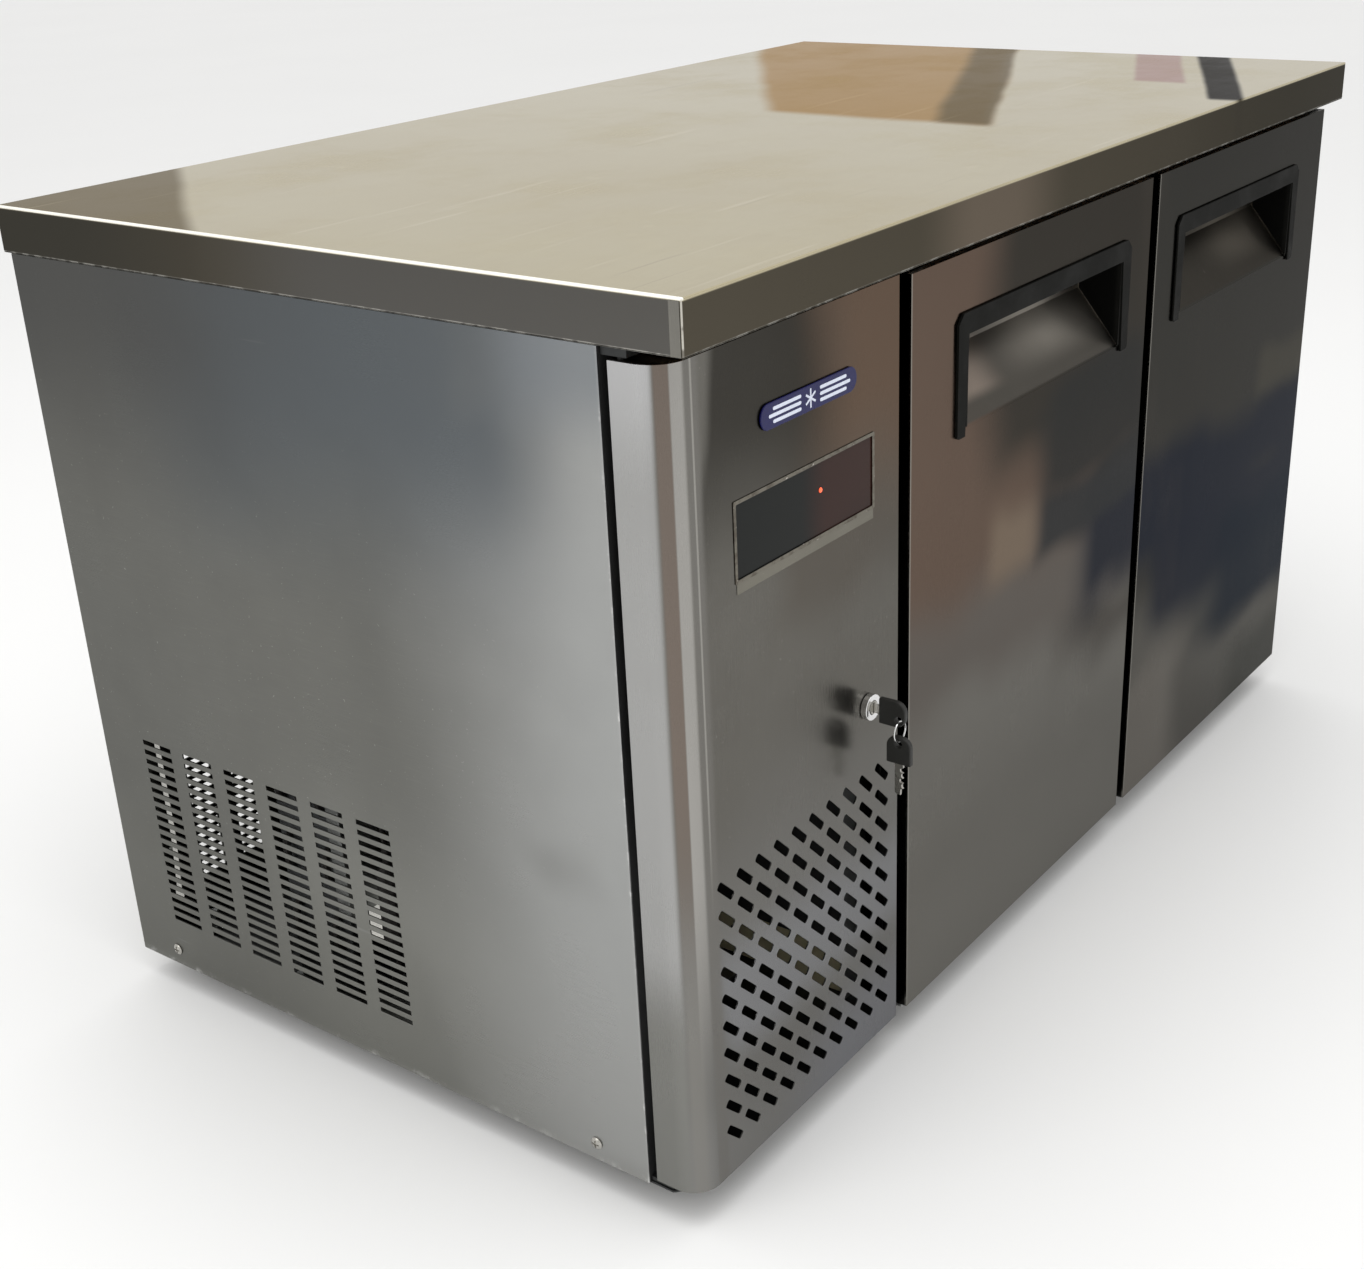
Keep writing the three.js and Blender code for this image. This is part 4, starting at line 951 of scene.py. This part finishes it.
def make_key(name, body, place, tip, eye_drop):
    """A moulded bow with an eye, and a toothed blade that ends at tip.

    place maps (u, v, w) of the key's own frame, u from the bow's outer end, to the corner frame.
    """
    bow = Builder()
    bow.face_loops([[place(u, v, w) for u, v in bow_outline()] for w in (-2.5, 2.5)])
    hole = Builder()
    eye = arc(6.0, -eye_drop, 3.0, 0, 340, 17)
    hole.face_loops([[place(u, v, w) for u, v in eye] for w in (-4, 4)])
    mesh = carve(f"{name}_bow", bow, hole)
    add_piece(f"{name}_bow", mesh, BLACK_PLASTIC, body, 1.1, 3, (name,))
    teeth = [(tip, -1.4)]
    u = tip - 4
    for depth in (-1.6, -2.6, -0.8, -2.2, -1.2):
        teeth += [(u + 1.2, depth), (u - 1.2, depth), (u - 2.4, -3.9)]
        u -= 4.6
    blade = [(22.0, -3.9), (22.0, 3.9), (tip - 2.0, 3.9), (tip, 2.0)] + teeth
    shank = Builder()
    shank.face_loops([[place(p, q, w) for p, q in blade] for w in (-1.05, 1.05)])
    shank.object(f"{name}_blade", NICKEL, body, "chrome", 0.25, 2)


make_key("key", "lock", lambda u, v, w: (LOCK_X + w, FACE - 36 + u, LOCK_Z + v), 54.0, 4.5)
spare_top = mm("spare_key").z1
make_key(
    "spare_key", "spare_key", lambda u, v, w: (LOCK_X + w, EYE_Y + v, spare_top - u), 52.0, 0.0
)


def make_key_ring():
    """A split ring: nearly two turns of round wire."""
    ring = mm("key_ring")
    cx, cz = (ring.x0 + ring.x1) / 2, (ring.z0 + ring.z1) / 2
    radius = (ring.z1 - ring.z0) / 2 - 0.9
    turns = 1.9
    steps = 110
    coil = []
    for i in range(steps + 1):
        t = i / steps
        a = 2 * math.pi * turns * t + math.radians(200)
        coil.append((cx + radius * math.cos(a), EYE_Y - 0.45 + 0.9 * t, cz + radius * math.sin(a)))
    wire = Builder().tube(coil, 0.5, 8)
    wire.object("split_ring", CHROME, "key_ring", "chrome", stands_for=("key_ring",))


make_key_ring()


# ---- casing details


def screw_head(builder, cutters, center, axis, sign, radius, height):
    """A pan head standing off a face towards sign along axis, and the cross cut into it."""
    profile = [
        (radius, 0.0),
        (radius, 0.25 * height),
        (0.86 * radius, 0.62 * height),
        (0.6 * radius, 0.88 * height),
        (0.25 * radius, height),
    ]
    builder.lathe([(r, sign * h) for r, h in profile], center, axis, 20)
    i = "XYZ".index(axis)
    j, k = [n for n in range(3) if n != i]
    arm, web = 0.62 * radius, 0.13 * radius
    plus = [(arm, -web), (arm, web), (web, web), (web, arm), (-web, arm), (-web, web)]
    plus += [(-u, -v) for u, v in plus]
    outline = [(center[j] + u, center[k] + v) for u, v in plus]
    cutters.prism(outline, axis, center[i] + sign * 0.45 * height, center[i] + sign * 1.6 * height)


def screws(name, body, material, heads, stands_for=()):
    """One piece of several screw heads: each is (centre, axis, sign, radius, height)."""
    builder, cutters = Builder(), Builder()
    for center, axis, sign, radius, height in heads:
        screw_head(builder, cutters, center, axis, sign, radius, height)
    add_piece(name, carve(name, builder, cutters), material, body, 0.0, 1, stands_for)


for end in ("front", "rear"):
    node = f"left_panel_screw_{end}"
    head = mm(node)
    middle = (head.x1, (head.y0 + head.y1) / 2, (head.z0 + head.z1) / 2)
    pan = (middle, "X", -1, (head.y1 - head.y0) / 2, head.x1 - head.x0)
    screws(f"panel_screw_{end}", "cabinet", NICKEL, [pan], (node,))

back = mm("back_panel")
heads = [
    ((x, back.y1 + 0.05, z), "Y", 1, 4.5, 2.0)
    for x in (back.x0 + 14, back.x0 + 400, back.x0 + 790, back.x1 - 14)
    for z in (back.z0 + 14, (back.z0 + back.z1) / 2 + 60, back.z1 - 14)
]
screws("back_panel_screws", "cabinet", NICKEL, heads)

# A narrow folded tab on the worktop's left apron, at the front corner.
top = mm("worktop")
tab = Builder().box(
    top.x0 - 0.45, top.y0 + 1.6, top.z0 + 0.4, top.x0 - 0.05, top.y0 + 10.0, top.z1 - 2.0
)
TAB_STEEL = steel("tab_steel", srgb(126, 124, 118), 0.2, "Z").done()
tab.object("worktop_corner_tab", TAB_STEEL, "cabinet", "worktop_steel", 0.15, 2)

# A rubber strip inside the end panel's front edge closes the gap behind the machine-bay door.
# Its black also stands in for the shade in that gap: painted shade.
panel = mm("left_side_panel")
strip = Builder().box(
    panel.x1 + 0.1, panel.y0 + 0.2, panel.z0 + 2.3, panel.x1 + 16, panel.y0 + 1.8, panel.z1 - 0.3
)
strip.object("bay_seal_and_shade_strip", RUBBER, "cabinet", "rubber", 0.2, 1)


# ---- doors: gaskets and inner panels

# The gasket's profile: how far it lies inside its outer edge, and its depth from the door.
GASKET_SECTION = [
    (0.4, 0.0),
    (17.6, 0.0),
    (17.6, 1.1),
    (14.4, 1.5),
    (12.9, 2.7),
    (14.6, 3.9),
    (13.4, 5.2),
    (11.6, 5.65),
    (4.6, 5.65),
    (2.8, 5.2),
    (1.8, 4.0),
    (3.4, 2.8),
    (2.2, 1.5),
    (0.4, 1.1),
]

# How far the inner panel's pressed outline lies inside its edge, and how far it stands out.
PAN_SECTION = [
    (0, 0.05),
    (0, 2.2),
    (1.2, 3.3),
    (2.8, 3.7),
    (17, 3.7),
    (21, 3.2),
    (27, 1.6),
    (31, 1.3),
]


def door_lining(side):
    """The bellows gasket of a door and the pressed inner panel inside it."""
    door = f"{side}_door"
    seal = mm(f"{door}_gasket")
    loops = []
    for inset, depth in GASKET_SECTION:
        u0, v0, u1, v1 = seal.x0 + inset, seal.z0 + inset, seal.x1 - inset, seal.z1 - inset
        loops.append([(u, seal.y0 + depth, v) for u, v in ((u0, v0), (u1, v0), (u1, v1), (u0, v1))])
    bellows, replaced = Builder().face_loops(loops, caps=False), (f"{door}_gasket",)
    bellows.object(f"{side}_gasket_bellows", SEAL_RUBBER, door, "rubber", 0.25, 2, replaced)
    back = mm(f"{door}_core").y1
    pan = []
    for step, depth in PAN_SECTION:
        inset, radius = 19 + step, max(6, 16 - step * 0.3)
        outline = rounded(
            seal.x0 + inset, seal.z0 + inset, seal.x1 - inset, seal.z1 - inset, radius, 4
        )
        pan.append([(u, back + depth, v) for u, v in outline])
    Builder().face_loops(pan).object(f"{door}_inner_panel", INNER_STEEL, door, "inner_steel")


door_lining("left")
door_lining("right")


# ---- shelves and feet


def wire_shelf(node):
    """A coated wire shelf: a round rim, close wires front to back and three bars under them."""
    b = mm(node)
    mid = (b.z0 + b.z1) / 2
    rim = 2.4
    shelf = Builder()
    outline = rounded(b.x0 + rim, b.y0 + rim, b.x1 - rim, b.y1 - rim, 12, 5)
    shelf.tube([(u, v, mid) for u, v in outline], rim, 10, closed=True)
    count = round((b.x1 - b.x0) / 21)
    for i in range(1, count):
        x = b.x0 + (b.x1 - b.x0) * i / count
        shelf.tube([(x, b.y0 + rim, mid + 1.2), (x, b.y1 - rim, mid + 1.2)], 1.2, 8)
    for share in (0.22, 0.5, 0.78):
        y = b.y0 + (b.y1 - b.y0) * share
        shelf.tube([(b.x0 + rim, y, mid - 1.2), (b.x1 - rim, y, mid - 1.2)], 1.25, 8)
    shelf.object(f"{node}_wires", WHITE_COAT, node, "coated_wire", stands_for=(node,))


wire_shelf("left_shelf")
wire_shelf("right_shelf")


def threaded_foot(node):
    """A levelling foot: a moulded pad, a hexagon and a threaded stem."""
    foot = mm(node)
    cx, cy = (foot.x0 + foot.x1) / 2, (foot.y0 + foot.y1) / 2
    r = (foot.x1 - foot.x0) / 2
    pad = [(r - 1.0, 0), (r, 0.8), (r, 3.4), (r - 0.8, 4.2), (r - 7, 5.4), (9.5, 7.4), (8.0, 9.0)]
    base = Builder().lathe(pad, (cx, cy, 0), "Z", 40)
    base.object(f"{node}_pad", RUBBER, node, "rubber", 0.3, 2, (node,))
    stem = Builder()
    corners = [math.radians(60 * k) for k in range(6)]
    stem.prism([(cx + 7.5 * math.cos(a), cy + 7.5 * math.sin(a)) for a in corners], "Z", 8.6, 14.0)
    profile = [(4.2, 13.5)]
    z = 14.2
    while z < foot.z1 - 1.2:
        profile += [(5.0, z), (4.35, z + 0.62)]
        z += 1.25
    profile += [(3.6, foot.z1)]
    stem.lathe(profile, (cx, cy, 0), "Z", 18)
    stem.object(f"{node}_stem", ZINC, node, "zinc_plate")


for foot in ("foot_front_left", "foot_front_right", "foot_rear_left", "foot_rear_right"):
    threaded_foot(foot)


# ---- refrigeration unit


def finned_coil(node, along, gap, rows, columns, metal, pipe):
    """A coil in a CAD node's box: fins across one axis, tubes along it and bends at its ends."""
    low = list(mm(node)[:3])
    high = list(mm(node)[3:])
    i = "XYZ".index(along)
    j = 1 - i
    ends = (low[i] + 11, high[i] - 11)
    fins = Builder()
    count = int((ends[1] - ends[0]) / gap)
    for n in range(count + 1):
        at = ends[0] + (ends[1] - ends[0]) * n / count
        a, b = list(low), list(high)
        plate = n in (0, count)
        a[i], b[i] = at - (0.7 if plate else 0.14), at + (0.7 if plate else 0.14)
        if not plate:
            a[2] += 4
            b[2] -= 4
            a[j] += 1
            b[j] -= 1
        fins.box(*a, *b)
    fins.object(f"{node}_fins", metal, "cabinet", "aluminium", stands_for=(node,))
    tubes = Builder()
    pitch = (high[2] - low[2] - 30) / (rows - 1)
    for c in range(columns):
        v = low[j] + (high[j] - low[j]) * (c + 0.5) / columns
        path = []
        for r in range(rows):
            z = low[2] + 15 + pitch * r
            forward = r % 2 == 0
            a, b = (ends[0] - 2, ends[1] + 2) if forward else (ends[1] + 2, ends[0] - 2)
            for at in (a, b):
                point = [0.0, 0.0, z]
                point[i], point[j] = at, v
                path.append(tuple(point))
            if r < rows - 1:
                out = 1 if forward else -1
                for t in (30, 60, 90, 120, 150):
                    bend = [0.0, 0.0, z + pitch / 2 - pitch / 2 * math.cos(math.radians(t))]
                    bend[i], bend[j] = b + out * 5.2 * math.sin(math.radians(t)), v
                    path.append(tuple(bend))
        tubes.tube(path, 3.6, 8)
    tubes.object(f"{node}_tubes", pipe, "cabinet", "copper")


finned_coil("condenser", "X", 3.0, 8, 3, SHADED_FINS, BLACK_TUBE)
finned_coil("evaporator", "Y", 5.5, 10, 2, ALUMINIUM, COPPER)

# Guard in front of the cold-air fan, on the evaporator cover.
fan = mm("evaporator_fan")
hub = ((fan.y0 + fan.y1) / 2, (fan.z0 + fan.z1) / 2)
guard_x = 433.6
guard = Builder()
for radius in (12, 24, 36, 48, 60):
    guard.tube([(guard_x, u, v) for u, v in arc(*hub, radius, 0, 354, 59)], 1.0, 6, closed=True)
for k in range(4):
    a = math.radians(45 + 90 * k)
    u, v = math.cos(a), math.sin(a)
    guard.tube([(guard_x, hub[0] + u * r, hub[1] + v * r) for r in (6, 61)], 1.2, 6)
guard.object("evaporator_fan_guard", CHROME, "cabinet", "chrome")

# Welded belt round the compressor.
belt = Builder()
section = [(62, 118.0), (72.6, 118.2), (73.4, 119.6), (73.4, 121.6), (72.6, 123.0), (62, 123.2)]
belt.lathe(section, (150, 272, 0), "Z", 48)
belt.object("compressor_belt", BLACK_ENAMEL, "cabinet", "black_enamel", 0.4, 2)

# Relay box on its bracket.
relay = Builder().prism(rounded(62, 404, 94, 436, 3, 3), "Z", 96, 128)
relay.object("relay_box", GLOWING_WHITE_PVC, "cabinet", "white_plastic", 1.2, 2)
bracket = Builder()
bracket.box(70, 419, 34.5, 86, 420.5, 95.6)
bracket.box(70, 412, 34.5, 86, 418.8, 36)
bracket.object("relay_bracket", ZINC, "cabinet", "zinc_plate", 0.3, 2)

# The chamber's drain pipe, down the back behind the condenser, with its open end and two clips.
pipe_x, pipe_y = 42.7, 674.0
drain = Builder()
route = [
    (pipe_x - 4, pipe_y, 76),
    (pipe_x - 0.5, pipe_y, 130),
    (pipe_x, pipe_y, 170),
    (pipe_x, pipe_y, 380),
    (50, 673, 440),
    (90, 668, 470),
    (180, 662, 476),
    (299.4, 660, 480),
]
drain.tube(curve_points(route, 8), 2.2, 12)
drain.lathe([(3.4, 70), (3.6, 71), (3.6, 77), (3.0, 78)], (pipe_x - 4.2, pipe_y, 0), "Z", 16)
drain.object("drain_pipe", GLOWING_WHITE_PVC, "cabinet", "white_plastic")
clips = Builder()
hoop = [math.radians(a) for a in range(-40, 221, 20)]
for z in (120, 330):
    ring = [(pipe_x + 3.4 * math.cos(a), pipe_y + 3.4 * math.sin(a), z) for a in hoop]
    clips.tube(ring, 0.9, 6)
    clips.box(pipe_x - 5, pipe_y + 3.6, z - 4, pipe_x + 5, 688.2, z + 4)
clips.object("drain_clips", ZINC, "cabinet", "zinc_plate", 0.2, 1)
